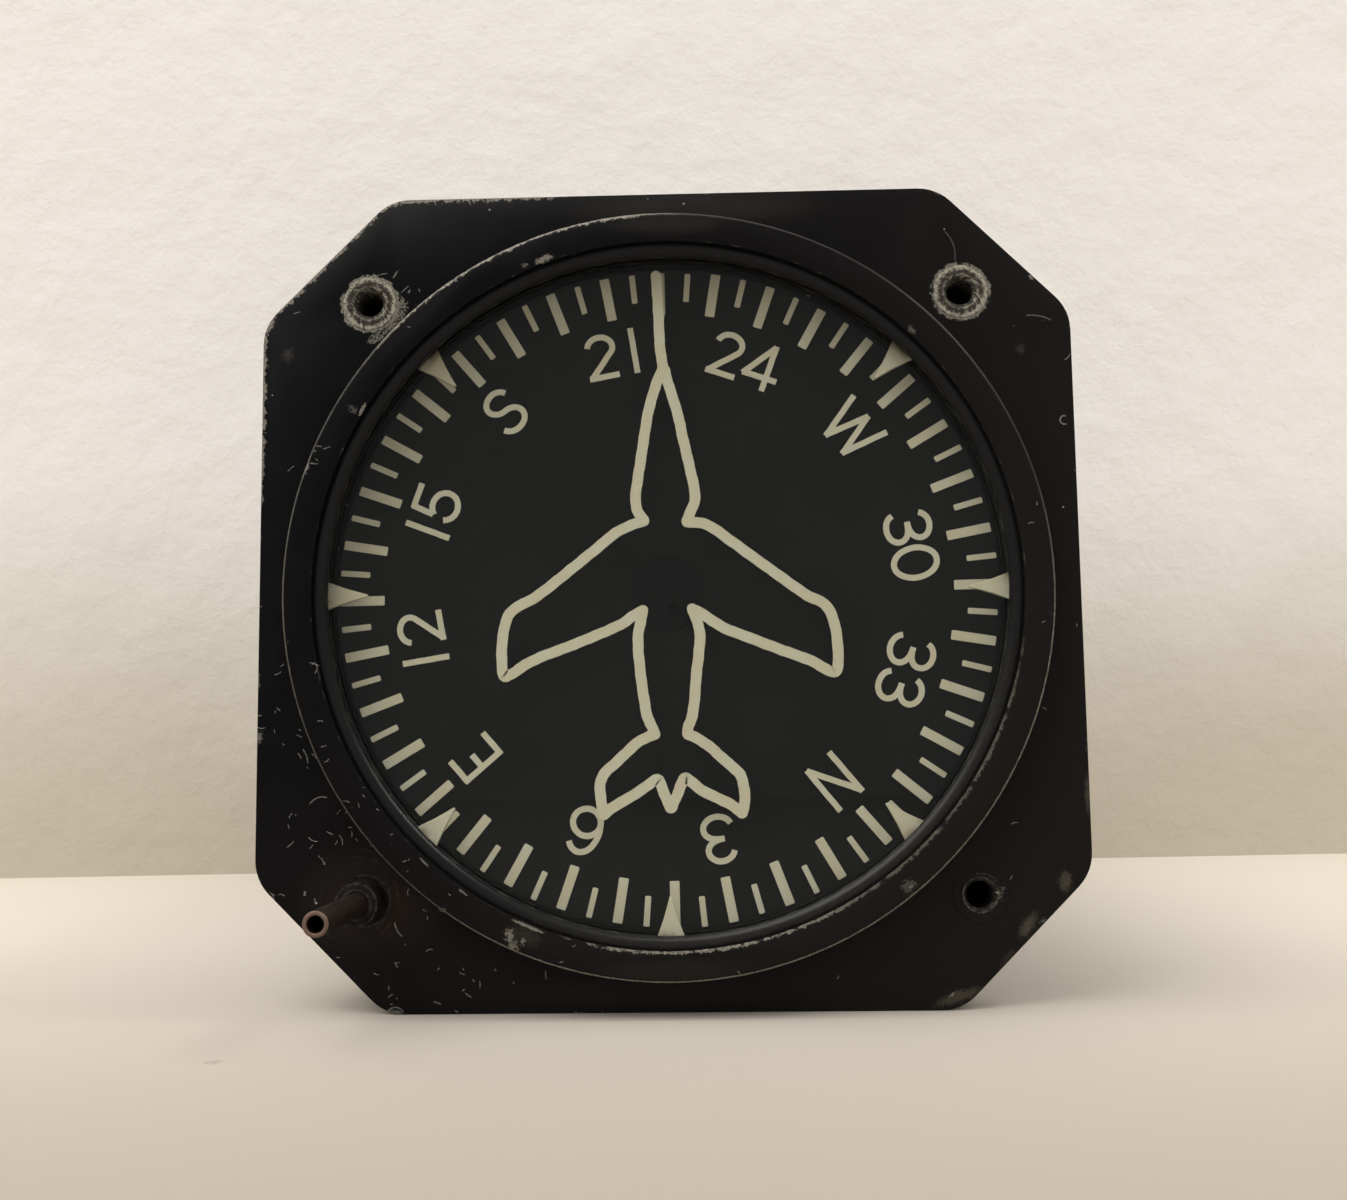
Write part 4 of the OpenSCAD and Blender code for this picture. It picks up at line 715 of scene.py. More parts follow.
def make_metal(name, clean, dull, rough, grain=3.0, lines=0.0):
    """A machined or cast metal: tarnish, fingermarks, grain and, with lines, turning marks."""
    board = Surface(name)
    place = board.at["Place"]
    tarnish = board.step(board.noise(place, 0.22, 5.0, 0.65), 0.32, 0.7)
    marks = board.step(board.noise(place, 0.6, 4.0, 0.6), 0.35, 0.7)
    fine = board.noise(place, grain, 4.0, 0.65)
    base = board.tint(tarnish, clean, dull)
    pits = board.times(board.step(fine, 0.62, 0.8), 0.35)
    base = board.tint(pits, base, tuple(0.45 * value for value in dull))
    flecks = board.flecks(board.at["Skin"], 3.5, 1.8, 0.04, 0.3, 0.2)
    height = board.times_plus(flecks, -0.6, fine)
    if lines:
        turned = board.joined(board.at["Radius"], board.at["Back"])
        height = board.times_plus(board.noise(turned, lines, 2.0, 0.5), 0.8, height)
    return board.dress(base, board.scale(marks, rough, rough + 0.18), height, 0.02, 1.0)


def make_stained_brown(finish):
    """The bare adjuster shaft: browned metal, with copper showing at its rolled tip, and painted glints."""
    board = Surface("Stained brown shaft")
    place = board.at["Place"]
    fine = board.noise(place, 2.2, 6.0, 0.75)
    tip = board.step(board.at["Back"], -17.7, -17.95)
    grime = board.tint(board.step(fine, 0.35, 0.68), SHADES["grime"], finish.shaft)
    base = board.tint(board.times(tip, 0.9), grime, finish.shaft_tip)
    # Painted glints: flecks in the colour of a highlight, strongest on the tip
    bright = board.step(fine, 0.56, 0.72)
    base = board.tint(board.times(bright, board.scale(tip, 0.08, 0.8)), base, SHADES["shaft_painted_glint"])
    return board.dress(base, board.scale(fine, 0.34, 0.66), fine, 0.05, board.scale(tip, 0.2, 0.8))


def make_bush_black():
    """Black bush round the shaft, rubbed brown where the knob turned on it."""
    board = Surface("Worn bush", 0.25)
    place = board.at["Place"]
    fine = board.noise(place, 1.8, 6.0, 0.72)
    scuffs = board.flecks(board.at["Skin"], 1.5, 1.3, 0.05, 0.35, 1.0)
    x, _, z = board.xyz(place)
    near = board.hypotenuse(board.plus(x, HOLE), board.plus(z, HOLE))
    base = board.tint(board.step(fine, 0.4, 0.7), SHADES["bush"], SHADES["bush_brown"])
    rims = [board.step(board.absolute(board.minus(near, radius)), 0.14, 0.03)
            for radius in (1.5, 2.1, 2.6)]
    rubbed = board.times(board.most(*rims), board.step(fine, 0.36, 0.62))
    base = board.tint(board.times(rubbed, 0.8), base, SHADES["bush_rubbed"])
    base = board.tint(board.times(scuffs, 0.3), base, SHADES["bush_scuff"])
    return board.dress(base, board.scale(fine, 0.5, 0.7), fine, 0.04)


def make_soft_finish(name, shade, light, scale, depth):
    """Rubber, cork or felt: a fibrous or crumbly face of two shades."""
    board = Surface(name, 0.3)
    fibres = board.noise(board.at["Place"], scale, 6.0, 0.75)
    crumbs = board.specks(board.at["Place"], 3.0 / scale, 0.9 / scale, 0.5)
    base = board.tint(board.step(fibres, 0.35, 0.68), shade, light)
    base = board.tint(board.times(crumbs, 0.35), base, tuple(0.5 * v for v in shade))
    return board.dress(base, board.scale(fibres, 0.75, 0.95), fibres, depth)


def only_mirrored(board):
    """1 for rays that only glossy faces and glass sent on, and 0 for the light that falls on a face."""
    path = board.add("ShaderNodeLightPath").outputs
    return board.times(path["Is Glossy Ray"], board.math("LESS_THAN", path["Diffuse Depth"], 0.5))


def make_plaster(name, shade, dim, along, wave, bump_scale, depth, soiled, mirror):
    """Pale plaster or table top, which goes from a painted dim shade to a light one and is seen from its
    front.

    along is the axis of that change and where it starts and ends, and wave how far it wanders, in
    millimetres. mirror is how much a painted shade darkens its image in the glass, as the camera
    that stands in front of the dial hides the table there.
    """
    board = Surface(name, 0.2, placed=False)
    spot = board.add("ShaderNodeTexCoord").outputs["Object"]
    place = board.vector("SCALE", spot, scale=1000.0)
    lumps = board.noise(spot, bump_scale, 6.0, 0.62)
    broad = board.noise(spot, bump_scale * 0.16, 3.0, 0.5)
    places = board.xyz(place)
    axis, start, end = along
    level = board.plus(places[axis], board.scale(broad, -wave, wave))
    # Painted shade: dimmer towards the foot of the wall and the front of the table
    base = board.tint(board.step(level, start, end), dim, shade)
    specks = board.specks(place, 26.0, 1.6, 0.4)
    ragged = board.step(board.noise(place, 0.5, 5.0, 0.7), 0.42, 0.62)
    dirt = board.times(board.times(specks, ragged), soiled)
    base = board.tint(dirt, base, SHADES["room_dirt"])
    # Painted shade: the table's image in reflections is darkened
    mirrored = only_mirrored(board)
    base = board.tint(board.times(mirrored, mirror), base, SHADES["painted_reflection_shade"])
    material = board.dress(base, 0.85, board.plus(lumps, broad), depth)
    behind = board.add("ShaderNodeNewGeometry").outputs["Backfacing"]
    board.show_through(behind, (1.0, 1.0, 1.0))
    return material


def give(node, material):
    """Puts a material on every slot of a CAD node."""
    mesh = NODES[node].data
    mesh.materials.clear()
    mesh.materials.append(material)


def link(name, data):
    """A new object in the scene."""
    made = bpy.data.objects.new(name, data)
    bpy.context.scene.collection.objects.link(made)
    return made


def new_piece(name, mesh, material, body, slot, *stands_for):
    """Links a mesh as a piece that rides on a body and stands for CAD nodes."""
    mesh.materials.clear()
    mesh.materials.append(material)
    piece = link(name, mesh)
    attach(piece, body)
    if stands_for:
        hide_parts(*stands_for)
    return piece


def angles(count):
    """The angles of a full turn in equal steps, in radians."""
    return [math.tau * i / count for i in range(count)]


def loft(bm, rings):
    """Joins rings of vertices by strips of faces, and closes the first and the last."""
    for first, second in zip(rings, rings[1:]):
        for i in range(len(first)):
            j = (i + 1) % len(first)
            bm.faces.new((first[i], first[j], second[j], second[i]))
    bm.faces.new(rings[0])
    bm.faces.new(list(reversed(rings[-1])))


def to_mesh(bm, name, sharp=None):
    """The bmesh as a plain mesh, smooth up to an angle in degrees when one is given."""
    if sharp is not None:
        smooth_by_angle(bm, sharp)
    mesh = bpy.data.meshes.new(name)
    bm.to_mesh(mesh)
    bm.free()
    return mesh


def lofted_mesh(bm, name, sharp=None):
    """The same, with all faces turned outward."""
    bmesh.ops.recalc_face_normals(bm, faces=bm.faces)
    return to_mesh(bm, name, sharp)


def smooth_by_angle(bm, degrees):
    """Smooth faces, with the edges sharper than the angle kept sharp."""
    limit = math.radians(degrees)
    for face in bm.faces:
        face.smooth = True
    for edge in bm.edges:
        edge.smooth = not (edge.is_manifold and edge.calc_face_angle(0.0) > limit)


def rounded_copy(node, name, radius, chosen, steps=2):
    """A closed copy of a CAD node's mesh with its chosen sharp edges rounded by a radius."""
    bm = bmesh.new()
    bm.from_mesh(NODES[node].data)
    bmesh.ops.remove_doubles(bm, verts=bm.verts, dist=0.002 * MM)
    bmesh.ops.dissolve_limit(bm, angle_limit=math.radians(0.4), verts=bm.verts, edges=bm.edges)
    sharp = [e for e in bm.edges if e.is_manifold and e.calc_face_angle(0.0) > math.radians(35)
             and chosen((e.verts[0].co + e.verts[1].co) / (2 * MM))]
    bmesh.ops.bevel(bm, geom=sharp, offset=radius * MM, segments=steps, profile=0.5, affect="EDGES",
                    clamp_overlap=True)
    return to_mesh(bm, name, 30)


def soft_copy(node, name, radius, uneven, cell):
    """A closed copy of a soft CAD solid with round edges and an uneven face, drawn in only, in mm."""
    mesh = rounded_copy(node, name, radius, lambda middle: True, 4)
    bm = bmesh.new()
    bm.from_mesh(mesh)
    bmesh.ops.triangulate(bm, faces=bm.faces)
    for _ in range(4):
        long = [e for e in bm.edges if e.calc_length() > cell * MM]
        if not long:
            break
        bmesh.ops.subdivide_edges(bm, edges=long, cuts=1)
        bmesh.ops.triangulate(bm, faces=bm.faces)
    bm.normal_update()
    moved = [vert.normal * (-0.5 * uneven * MM * (1.0 + noise.noise(vert.co / (2.2 * cell * MM))))
             for vert in bm.verts]
    for vert, shift in zip(bm.verts, moved):
        vert.co += shift
    smooth_by_angle(bm, 60)
    bm.to_mesh(mesh)
    bm.free()
    return mesh


def coil_mesh(name, box, wire, turns):
    """A spring along Y that fills a box, with the turns at its ends nearly closed, in metres."""
    low, high = box
    middle = (low + high) / 2
    radius = (high.x - low.x) / 2 - wire
    per_turn, sides = 48, 10
    steps = per_turn * turns

    # A step of the closed turn at either end rises 0.26 as much as one of the open turns
    rises = [0.0]
    for i in range(steps):
        from_end = min(i + 0.5, steps - i - 0.5) / per_turn
        opened = min(1.0, max(0.0, (from_end - 0.6) / 0.4))
        rises.append(rises[-1] + 0.26 + 0.74 * opened)
    bm = bmesh.new()
    rings = []
    for i, rise in enumerate(rises):
        around = math.tau * i / per_turn
        deep = low.y + wire + (high.y - low.y - 2 * wire) * rise / rises[-1]
        ring = []
        for a in angles(sides):
            out = radius + wire * math.cos(a)
            ring.append(bm.verts.new((middle.x + out * math.cos(around), deep + wire * math.sin(a),
                                      middle.z + out * math.sin(around))))
        rings.append(ring)
    loft(bm, rings)
    return lofted_mesh(bm, name, 50)


def rounded_piece(node, name, radius, chosen, material, body, slot):
    """A piece that stands for a CAD node, with the chosen edges rounded."""
    new_piece(name, rounded_copy(node, name, radius, chosen), material, body, slot, node)


def soft_piece(node, name, radius, uneven, cell, material, body, slot):
    """A piece that stands for a soft CAD node, with round edges and an uneven face."""
    new_piece(name, soft_copy(node, name, radius, uneven, cell), material, body, slot, node)


def insert_rings(cx, count, lift, end):
    """The rings of one insert as radius and depth, from its outside over its face into its thread.

    lift is how far the scraped face stands proud, and cx shifts its waves, all in millimetres.
    """
    def uneven(angle, k):
        waves = math.sin(7 * angle + k) + math.sin(13 * angle + 2.3 * k) + math.sin(29 * angle + k)
        return lift * waves / 2.4

    rings = [[(INSERT_R, end)] * count]
    for k, radius in enumerate((INSERT_R, 2.84, 2.6, 2.4, 2.2, 2.0, 1.86, 1.78)):
        inner = 0.0 if k in (0, 7) else 1.0
        rings.append([(radius + 0.04 * inner * math.sin(11 * a + k), -inner * abs(uneven(a, 2 * k + cx)))
                      for a in angles(count)])

    # The thread goes in and out with its pitch, from 1.72 at its grooves to 1.36 at its crests
    levels, start = 84, 0.25
    for level in range(levels + 1):
        deep = start + (THREAD_END - start) * level / levels
        ring = []
        for i in range(count):
            phase = (deep / THREAD_PITCH - i / count) % 1.0
            ridge = 1.0 - abs(2.0 * phase - 1.0)
            ring.append((1.72 - 0.36 * min(1.0, 1.25 * ridge), deep))
        rings.append(ring)
    rings.append([(1.2, THREAD_END)] * count)
    return rings


def insert_mesh():
    """The three mounting inserts: a scraped, uneven face, a cut thread and a closed end."""
    bm = bmesh.new()
    count, end = 72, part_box("mount_inserts")[1].y / MM
    for cx, cz, lift in ((-HOLE, HOLE, 0.1), (HOLE, HOLE, 0.08), (HOLE, -HOLE, 0.015)):
        loft(bm, [[bm.verts.new(((cx + r * math.cos(a)) * MM, y * MM, (cz + r * math.sin(a)) * MM))
                   for a, (r, y) in zip(angles(count), ring)]
                  for ring in insert_rings(cx, count, lift, end)])
    return lofted_mesh(bm, "mount_insert_threads", 50)


def make_ring_tree():
    """Geometry Nodes that set copies of a piece round the Y axis, each turned and sized a little."""
    tree = bpy.data.node_groups.new("Pieces round the dial axis", "GeometryNodeTree")
    tree.interface.new_socket("Geometry", in_out="INPUT", socket_type="NodeSocketGeometry")
    for label, kind, value in (("Piece", "NodeSocketObject", None), ("Count", "NodeSocketInt", 6),
                               ("First", FLOAT, 0.0), ("Step", FLOAT, 60.0), ("Own axis", VECTOR, None),
                               ("Spin", FLOAT, 0.0), ("Uneven", VECTOR, None), ("Seed", "NodeSocketInt", 1),
                               ("Finish", "NodeSocketMaterial", None)):
        socket = tree.interface.new_socket(label, in_out="INPUT", socket_type=kind)
        if value is not None:
            socket.default_value = value
    tree.interface.new_socket("Geometry", in_out="OUTPUT", socket_type="NodeSocketGeometry")
    board = Board(tree)
    given = board.add("NodeGroupInput").outputs
    points = board.add("GeometryNodePoints", {"Count": given["Count"]}).outputs[0]
    index = board.add("GeometryNodeInputIndex").outputs[0]
    turn = board.math("RADIANS", board.times_plus(index, given["Step"], given["First"]))
    around = board.joined(0.0, turn)
    piece = board.add("GeometryNodeObjectInfo", {"Object": given["Piece"]}).outputs["Geometry"]
    copies = board.add("GeometryNodeInstanceOnPoints",
                       {"Points": points, "Instance": piece, "Rotation": around}).outputs[0]
    low = board.vector("SCALE", given["Uneven"], scale=-1.0)
    change = board.add("FunctionNodeRandomValue", {0: low, 1: given["Uneven"], "Seed": given["Seed"]},
                       data_type="FLOAT_VECTOR").outputs[0]
    size = board.vector("ADD", change, (1.0, 1.0, 1.0))
    sized = board.add("GeometryNodeScaleInstances",
                      {"Instances": copies, "Scale": size, "Center": given["Own axis"]}).outputs[0]
    spin = board.add("FunctionNodeRandomValue", {2: 0.0, 3: given["Spin"], "Seed": given["Seed"]},
                     data_type="FLOAT").outputs[1]
    own = board.joined(0.0, board.math("RADIANS", spin))
    spun = board.add("GeometryNodeRotateInstances",
                     {"Instances": sized, "Rotation": own, "Pivot Point": given["Own axis"]}).outputs[0]
    solid = board.add("GeometryNodeRealizeInstances", {"Geometry": spun}).outputs[0]
    feeds = {"Geometry": solid, "Material": given["Finish"]}
    finished = board.add("GeometryNodeSetMaterial", feeds).outputs[0]
    board.add("NodeGroupOutput", {0: finished})
    return tree


def ring_of(name, piece_mesh, material, **sizes):
    """Runs the ring tree on a piece and returns the result as one plain mesh."""
    tree = bpy.data.node_groups["Pieces round the dial axis"]
    one = link(name + "_one", piece_mesh)
    holder = link(name + "_holder", bpy.data.meshes.new(name + "_holder"))
    modifier = holder.modifiers.new("Ring", "NODES")
    modifier.node_group = tree
    names = {item.name: item.identifier for item in tree.interface.items_tree if item.in_out == "INPUT"}
    modifier[names["Piece"]] = one
    modifier[names["Finish"]] = material
    for label, value in sizes.items():
        modifier[names[label.replace("_", " ")]] = value
    bpy.context.view_layer.update()
    graph = bpy.context.evaluated_depsgraph_get()
    mesh = bpy.data.meshes.new_from_object(holder.evaluated_get(graph))
    mesh.name = name
    holder.modifiers.remove(modifier)
    bpy.data.objects.remove(holder)
    bpy.data.objects.remove(one)
    return mesh


def plate_mesh(name, outline, front, back):
    """A flat mark with a softened front edge; the outline is across and up in millimetres."""
    bm = bmesh.new()
    ease = 0.3 * abs(back - front)
    middle = Vector((sum(p[0] for p in outline), sum(p[1] for p in outline))) / len(outline)
    rings = []
    for deep, pull in ((front, ease), (front + ease, 0.0), (back, 0.0)):
        ring = []
        for across, up in outline:
            inward = (middle - Vector((across, up))).normalized() * pull
            ring.append(bm.verts.new(((across + inward.x) * MM, deep * MM, (up + inward.y) * MM)))
        rings.append(ring)
    loft(bm, rings)
    return lofted_mesh(bm, name)


def bar_outline(width, low, high, corner):
    """A bar across and up the dial with cut corners."""
    half = width / 2
    return [(-half + corner, low), (half - corner, low), (half, low + corner), (half, high - corner),
            (half - corner, high), (-half + corner, high), (-half, high - corner), (-half, low + corner)]


def eased(points, rounds=2):
    """The points with their corners cut, for a hand-drawn line."""
    for _ in range(rounds):
        cut = [points[0]]
        for (ax, az), (bx, bz) in zip(points, points[1:]):
            cut += [(0.75 * ax + 0.25 * bx, 0.75 * az + 0.25 * bz),
                    (0.25 * ax + 0.75 * bx, 0.25 * az + 0.75 * bz)]
        points = cut + [points[-1]]
    return points


def arc(middle, wide, high, start, end, count=16):
    """Points along part of an ellipse, with the angles in degrees anticlockwise from the right."""
    turns = [math.radians(start + (end - start) * i / count) for i in range(count + 1)]
    return [(middle[0] + wide * math.cos(a), middle[1] + high * math.sin(a)) for a in turns]


def add_stroke(bm, points, width, front, back, uneven=0.0, round_ends=False, phase=0.0):
    """Adds a raised band of paint along points across and up the dial, all in millimetres."""
    spots = [Vector(points[0])]
    for point in points[1:]:
        step = Vector(point) - spots[-1]
        pieces = max(1, round(step.length / 0.35)) if uneven else 1
        first = spots[-1]
        spots += [first + step * (i + 1) / pieces for i in range(pieces)]
    ways = [(b - a).normalized() for a, b in zip(spots, spots[1:])]
    left, right, run = [], [], phase
    for i, spot in enumerate(spots):
        before, after = ways[max(i - 1, 0)], ways[min(i, len(ways) - 1)]
        way = (before + after).normalized()
        side = Vector((-way.y, way.x)) / max(0.75, way.dot(after))
        wave = [uneven * (math.sin(3.1 * run + k) + 0.8 * math.sin(7.3 * run + 2.1 * k)
                          + 0.5 * math.sin(15.7 * run + k)) for k in (phase, phase + 2.4)]
        left.append(spot + side * (width / 2 + wave[0]))
        right.append(spot - side * (width / 2 + wave[1]))
        run += (spots[min(i + 1, len(spots) - 1)] - spot).length
    if round_ends:
        for spot, way, first in ((spots[0], -ways[0], True), (spots[-1], ways[-1], False)):
            side = Vector((-way.y, way.x))
            for a in (math.radians(t) for t in (25, 50, 70, 82)):
                end = spot + way * (0.5 * width * math.sin(a))
                off = side * (0.5 * width * math.cos(a))
                if first:
                    left.insert(0, end - off)
                    right.insert(0, end + off)
                else:
                    left.append(end + off)
                    right.append(end - off)
    loft(bm, [[bm.verts.new((p.x * MM, deep * MM, p.y * MM))
               for p, deep in ((a, front), (b, front), (b, back), (a, back))]
              for a, b in zip(left, right)])


def stroke_mesh(name, strokes, width, front, back, uneven=0.0, round_ends=False):
    """Several bands of paint as one mesh, each a hair deeper than the last where they cross."""
    bm = bmesh.new()
    for i, points in enumerate(strokes):
        add_stroke(bm, points, width, front + 0.001 * i, back, uneven, round_ends, 1.7 * i)
    return lofted_mesh(bm, name)


# Strokes of the aircraft outline and its lubber line, across and up the dial in millimetres
AIRCRAFT = [
    [(-0.75, 33.6), (-0.6, 31), (-0.5, 28.5), (-0.45, 26), (-0.2, 24.2), (0, 23.2)],
    [(-0.15, 23.6), (-0.95, 21.7), (-1.45, 20), (-1.9, 18.2), (-2.5, 14.2), (-3.1, 10.7), (-3.2, 9.3),
     (-2.95, 8.3), (-2.3, 7.4)],
    [(0.05, 23.4), (0.3, 22.3), (0.85, 20.4), (1.4, 18.6), (1.8, 16.4), (2.75, 12), (3.1, 10.1), (3, 9.2),
     (2.55, 8.2), (2.15, 7.3)],
    [(-2.3, 7.35), (-3.9, 6.9), (-5.5, 6.05), (-7, 4.75), (-13.1, -0.1), (-14.4, -0.9), (-15.8, -1.5),
     (-16.6, -2.4), (-17, -3.8), (-17.2, -5.6), (-17.2, -7.6), (-17, -8.8), (-16.1, -8.4), (-15, -7.6),
     (-13.5, -6.8), (-9.8, -5.5), (-6.1, -4), (-4.7, -3.4), (-3.6, -2.6), (-2.6, -2)],
    [(2.2, 7.15), (3.7, 7.1), (5, 6.5), (6.2, 5.5), (13.5, 0), (14.6, -0.8), (16.1, -1.4), (16.7, -2.1),
     (17.2, -3.3), (17.5, -5), (17.6, -7.9), (17.2, -8.8), (16.1, -8.3), (15, -7.5), (11.7, -6.3),
     (8, -4.8), (6.1, -4.1), (4.8, -3.3), (3.6, -2.4), (2.6, -1.9)],
    [(-2.5, -2), (-2.7, -2.9), (-3, -4.2), (-3.1, -5.5), (-2.8, -8.8), (-2.4, -11.9), (-2.1, -13.3),
     (-1.6, -14.2), (-1.4, -14.8)],
    [(2.6, -1.9), (3.1, -3.2), (3.4, -4.4), (3.3, -5.9), (2.9, -8.9), (2.7, -11.6), (2.4, -13.2),
     (2, -14.1), (1.95, -14.8)],
    [(-1.4, -14.8), (-2.6, -15.2), (-3.6, -15.9), (-5.6, -17.8), (-6.6, -18.6), (-7.1, -19.5),
     (-7.1, -20.9), (-6.9, -22.1), (-6.7, -22.9)],
    [(1.95, -14.8), (3.2, -15.4), (4.2, -16.1), (6, -17.8), (7.1, -18.7), (7.5, -19.5), (7.7, -20.7),
     (7.7, -22), (7.4, -22.9)],
    [(-6.7, -22.9), (-5.9, -22.2), (-3.9, -21.1), (-2.6, -20.3), (-1.2, -19.2), (-0.8, -20), (-0.4, -21.2),
     (0.1, -22.3)],
    [(7.4, -22.9), (6.8, -22.4), (5.9, -21.8), (3.3, -20.6), (2.3, -19.7), (1.6, -19.1), (1.2, -20),
     (0.7, -21.2), (0.2, -22.3)],
]

# Strokes of each figure about its own middle, across and up, in millimetres
FIGURES = {
    "0": [arc((0, 0), 1.58, 2.28, 0, 180), arc((0, 0), 1.58, 2.28, 180, 360)],
    "1": [[(0.05, 2.65), (-0.1, -2.3)]],
    "2": [arc((0, 1.2), 1.35, 1.13, 172, -32) + [(-1.4, -2)], [(-1.68, -2.02), (1.55, -2.02)]],
    "3": [arc((0, 1.2), 1.35, 1.12, 168, -92), arc((0, -1.12), 1.47, 1.15, 92, -168),
          [(-0.55, 0.06), (0.1, 0.06)]],
    "4": [[(0.75, 2.5), (-1.9, -1.2)], [(-1.95, -1.08), (1.85, -1.08)], [(0.72, 2.6), (0.62, -2.5)]],
    "5": [[(-1.2, 2.42), (1.6, 2.42)], [(-0.95, 2.6), (-1.18, 0.2)],
          arc((0, -0.75), 1.48, 1.37, 141, -168)],
    "6": [arc((0, -0.8), 1.45, 1.4, 0, 180), arc((0, -0.8), 1.45, 1.4, 180, 360),
          arc((0, 0), 1.57, 2.37, 205, 42)],
    "N": [[(-1.45, 2.75), (-1.55, -2.55)], [(-1.5, 2.6), (1.5, -2.6)], [(1.6, 2.75), (1.45, -2.65)]],
    "E": [[(-0.9, 2.8), (-0.9, -2.2)], [(-1.1, 2.55), (1.8, 2.55)], [(-1, 0.42), (0.8, 0.42)],
          [(-1.1, -1.93), (1.8, -1.93)]],
    "S": [arc((0, 1.18), 1.37, 1.12, 18, 262) + arc((0, -1.12), 1.48, 1.18, 82, -162)],
    "W": [[(-2.65, 2.65), (-1.4, -2.5)], [(-1.5, -2.5), (0.05, 2.3)], [(0, 2.3), (1.2, -2.5)],
          [(1.1, -2.5), (2.6, 2.6)]],
}

# Each figure on the card: its heading, and its shift to the right
FIGURE_PLACES = [
    ("N", 0, 0), ("3", 30, -0.2), ("6", 60, 0.3), ("E", 90, 0), ("1", 120, -1.85), ("2", 120, 1.55),
    ("1", 150, -1.7), ("5", 150, 1.25), ("S", 180, -0.1), ("2", 210, -1.9), ("1", 210, 1.65),
    ("2", 240, -2.15), ("4", 240, 1.95), ("W", 270, 0), ("3", 300, -1.75), ("0", 300, 2.1),
    ("3", 330, -2.15), ("3", 330, 1.8),
]


def figures_on_card():
    """Strokes of all the figures at their places on the card, in millimetres."""
    placed = []
    for figure, heading, shift in FIGURE_PLACES:
        turn = math.radians(heading - UNDER_LUBBER)
        right = Vector((math.cos(turn), -math.sin(turn)))
        up = Vector((math.sin(turn), math.cos(turn)))
        for stroke in FIGURES[figure]:
            placed.append([tuple(right * (x + shift) + up * (z + FIGURE_R)) for x, z in stroke])
    return placed


def screw_mesh(name, at, back, head_r, head_t, shank_r, length):
    """A cheese-head screw along Y with a domed, slotted head; at is its distance to the right."""
    bm = bmesh.new()
    slot_half, slot_deep = 0.15 * head_r, 0.45 * head_t
    profile = [(shank_r, back - length), (shank_r, back), (head_r, back), (head_r, back + 0.75 * head_t),
               (head_r * 0.93, back + 0.93 * head_t), (head_r * 0.8, back + head_t)]
    loft(bm, [[bm.verts.new((radius * math.cos(a), deep, radius * math.sin(a))) for a in angles(40)]
              for radius, deep in profile])
    bmesh.ops.recalc_face_normals(bm, faces=bm.faces)
    for side in (-1, 1):
        geom = bm.verts[:] + bm.edges[:] + bm.faces[:]
        bmesh.ops.bisect_plane(bm, geom=geom, plane_co=(0, 0, side * slot_half), plane_no=(0, 0, side))
    top = back + head_t
    slot = [f for f in bm.faces if f.normal.y > 0.3
            and all(abs(v.co.z) <= slot_half + 1e-6 for v in f.verts) and f.calc_center_median().y > back]
    walls = bmesh.ops.extrude_face_region(bm, geom=slot)
    lowered = [v for v in walls["geom"] if isinstance(v, bmesh.types.BMVert)]
    for vert in lowered:
        vert.co.y = top - slot_deep
    bmesh.ops.delete(bm, geom=slot, context="FACES")
    bmesh.ops.recalc_face_normals(bm, faces=bm.faces)
    smooth_by_angle(bm, 35)
    for vert in bm.verts:
        vert.co = Vector((vert.co.x + at, vert.co.y, vert.co.z)) * MM
    return to_mesh(bm, name)


def tone(name, description, default):
    """A setting for a colour."""
    return FloatVectorProperty(name=name, description=description, subtype="COLOR", size=3, min=0, max=1,
                               default=default)


def share(name, description, default, most=1.0):
    """A setting for a share, up to most."""
    return FloatProperty(name=name, description=description, default=default, min=0.0, max=most,
                         subtype="FACTOR")


def length(name, description, default, least, most):
    """A setting for a length in millimetres."""
    return FloatProperty(name=name, description=description + ", in mm", default=default, min=least,
                         max=most)


def strength(name, description, default, most):
    """A setting for the strength of a light, up to most."""
    return FloatProperty(name=name, description=description, default=default, min=0.0, max=most)


class GyroFinish(bpy.types.PropertyGroup):
    """Colours and wear of the instrument."""

    # Painted light and shade: the enamel is the shaded colour, and the right side colour a painted lighter
    # one
    enamel: tone("Enamel", "Black enamel at the left of the case", (0.0026, 0.0023, 0.0036))
    enamel_painted_light: tone("Enamel, right side", "Warmer black at the right", (0.0128, 0.0112, 0.0100))
    insert: tone("Inserts", "Scraped metal of the mounting inserts", (0.62, 0.585, 0.48))
    ring: tone("Retaining ring", "Blackened wire of the retaining ring", (0.0105, 0.0105, 0.0110))
    glass: tone("Glass", "Tint of the cover glass", (0.97, 0.985, 0.97))
    cream: tone("Marks", "Aged cream paint of the marks", (0.76, 0.735, 0.57))
    cream_dark: tone("Marks, aged", "Darker areas of the cream paint", (0.76, 0.69, 0.50))
    card: tone("Card", "Flat greenish black of the compass card", (0.0092, 0.0098, 0.0096))
    shaft: tone("Shaft", "Brown stain on the adjuster shaft", (0.045, 0.023, 0.015))
    shaft_tip: tone("Shaft tip", "Copper colour of the shaft's end", (0.46, 0.30, 0.23))
    edge_wear: share("Edge wear", "How bare the worn edges are", 1.0)
    scratches: share("Scratches", "How much the scratches and specks show", 0.85)


class GyroSizes(bpy.types.PropertyGroup):
    """Sizes that only the looks use."""

    case_round: length("Case edges", "Rounding of the flange and bezel edges", 0.22, 0.05, 0.5)
    small_round: length("Small edges", "Rounding of small turned pieces", 0.12, 0.03, 0.3)
    outline: length("Outline", "Width of the aircraft outline", 1.1, 0.6, 1.6)
    figure_line: length("Figure line", "Width of the strokes of the figures", 0.62, 0.4, 0.9)
    mark_corner: length("Mark corners", "Cut corners of the heading marks", 0.09, 0.0, 0.3)
    mark_uneven: share("Uneven marks", "How much the marks differ in size", 0.03, 0.1)


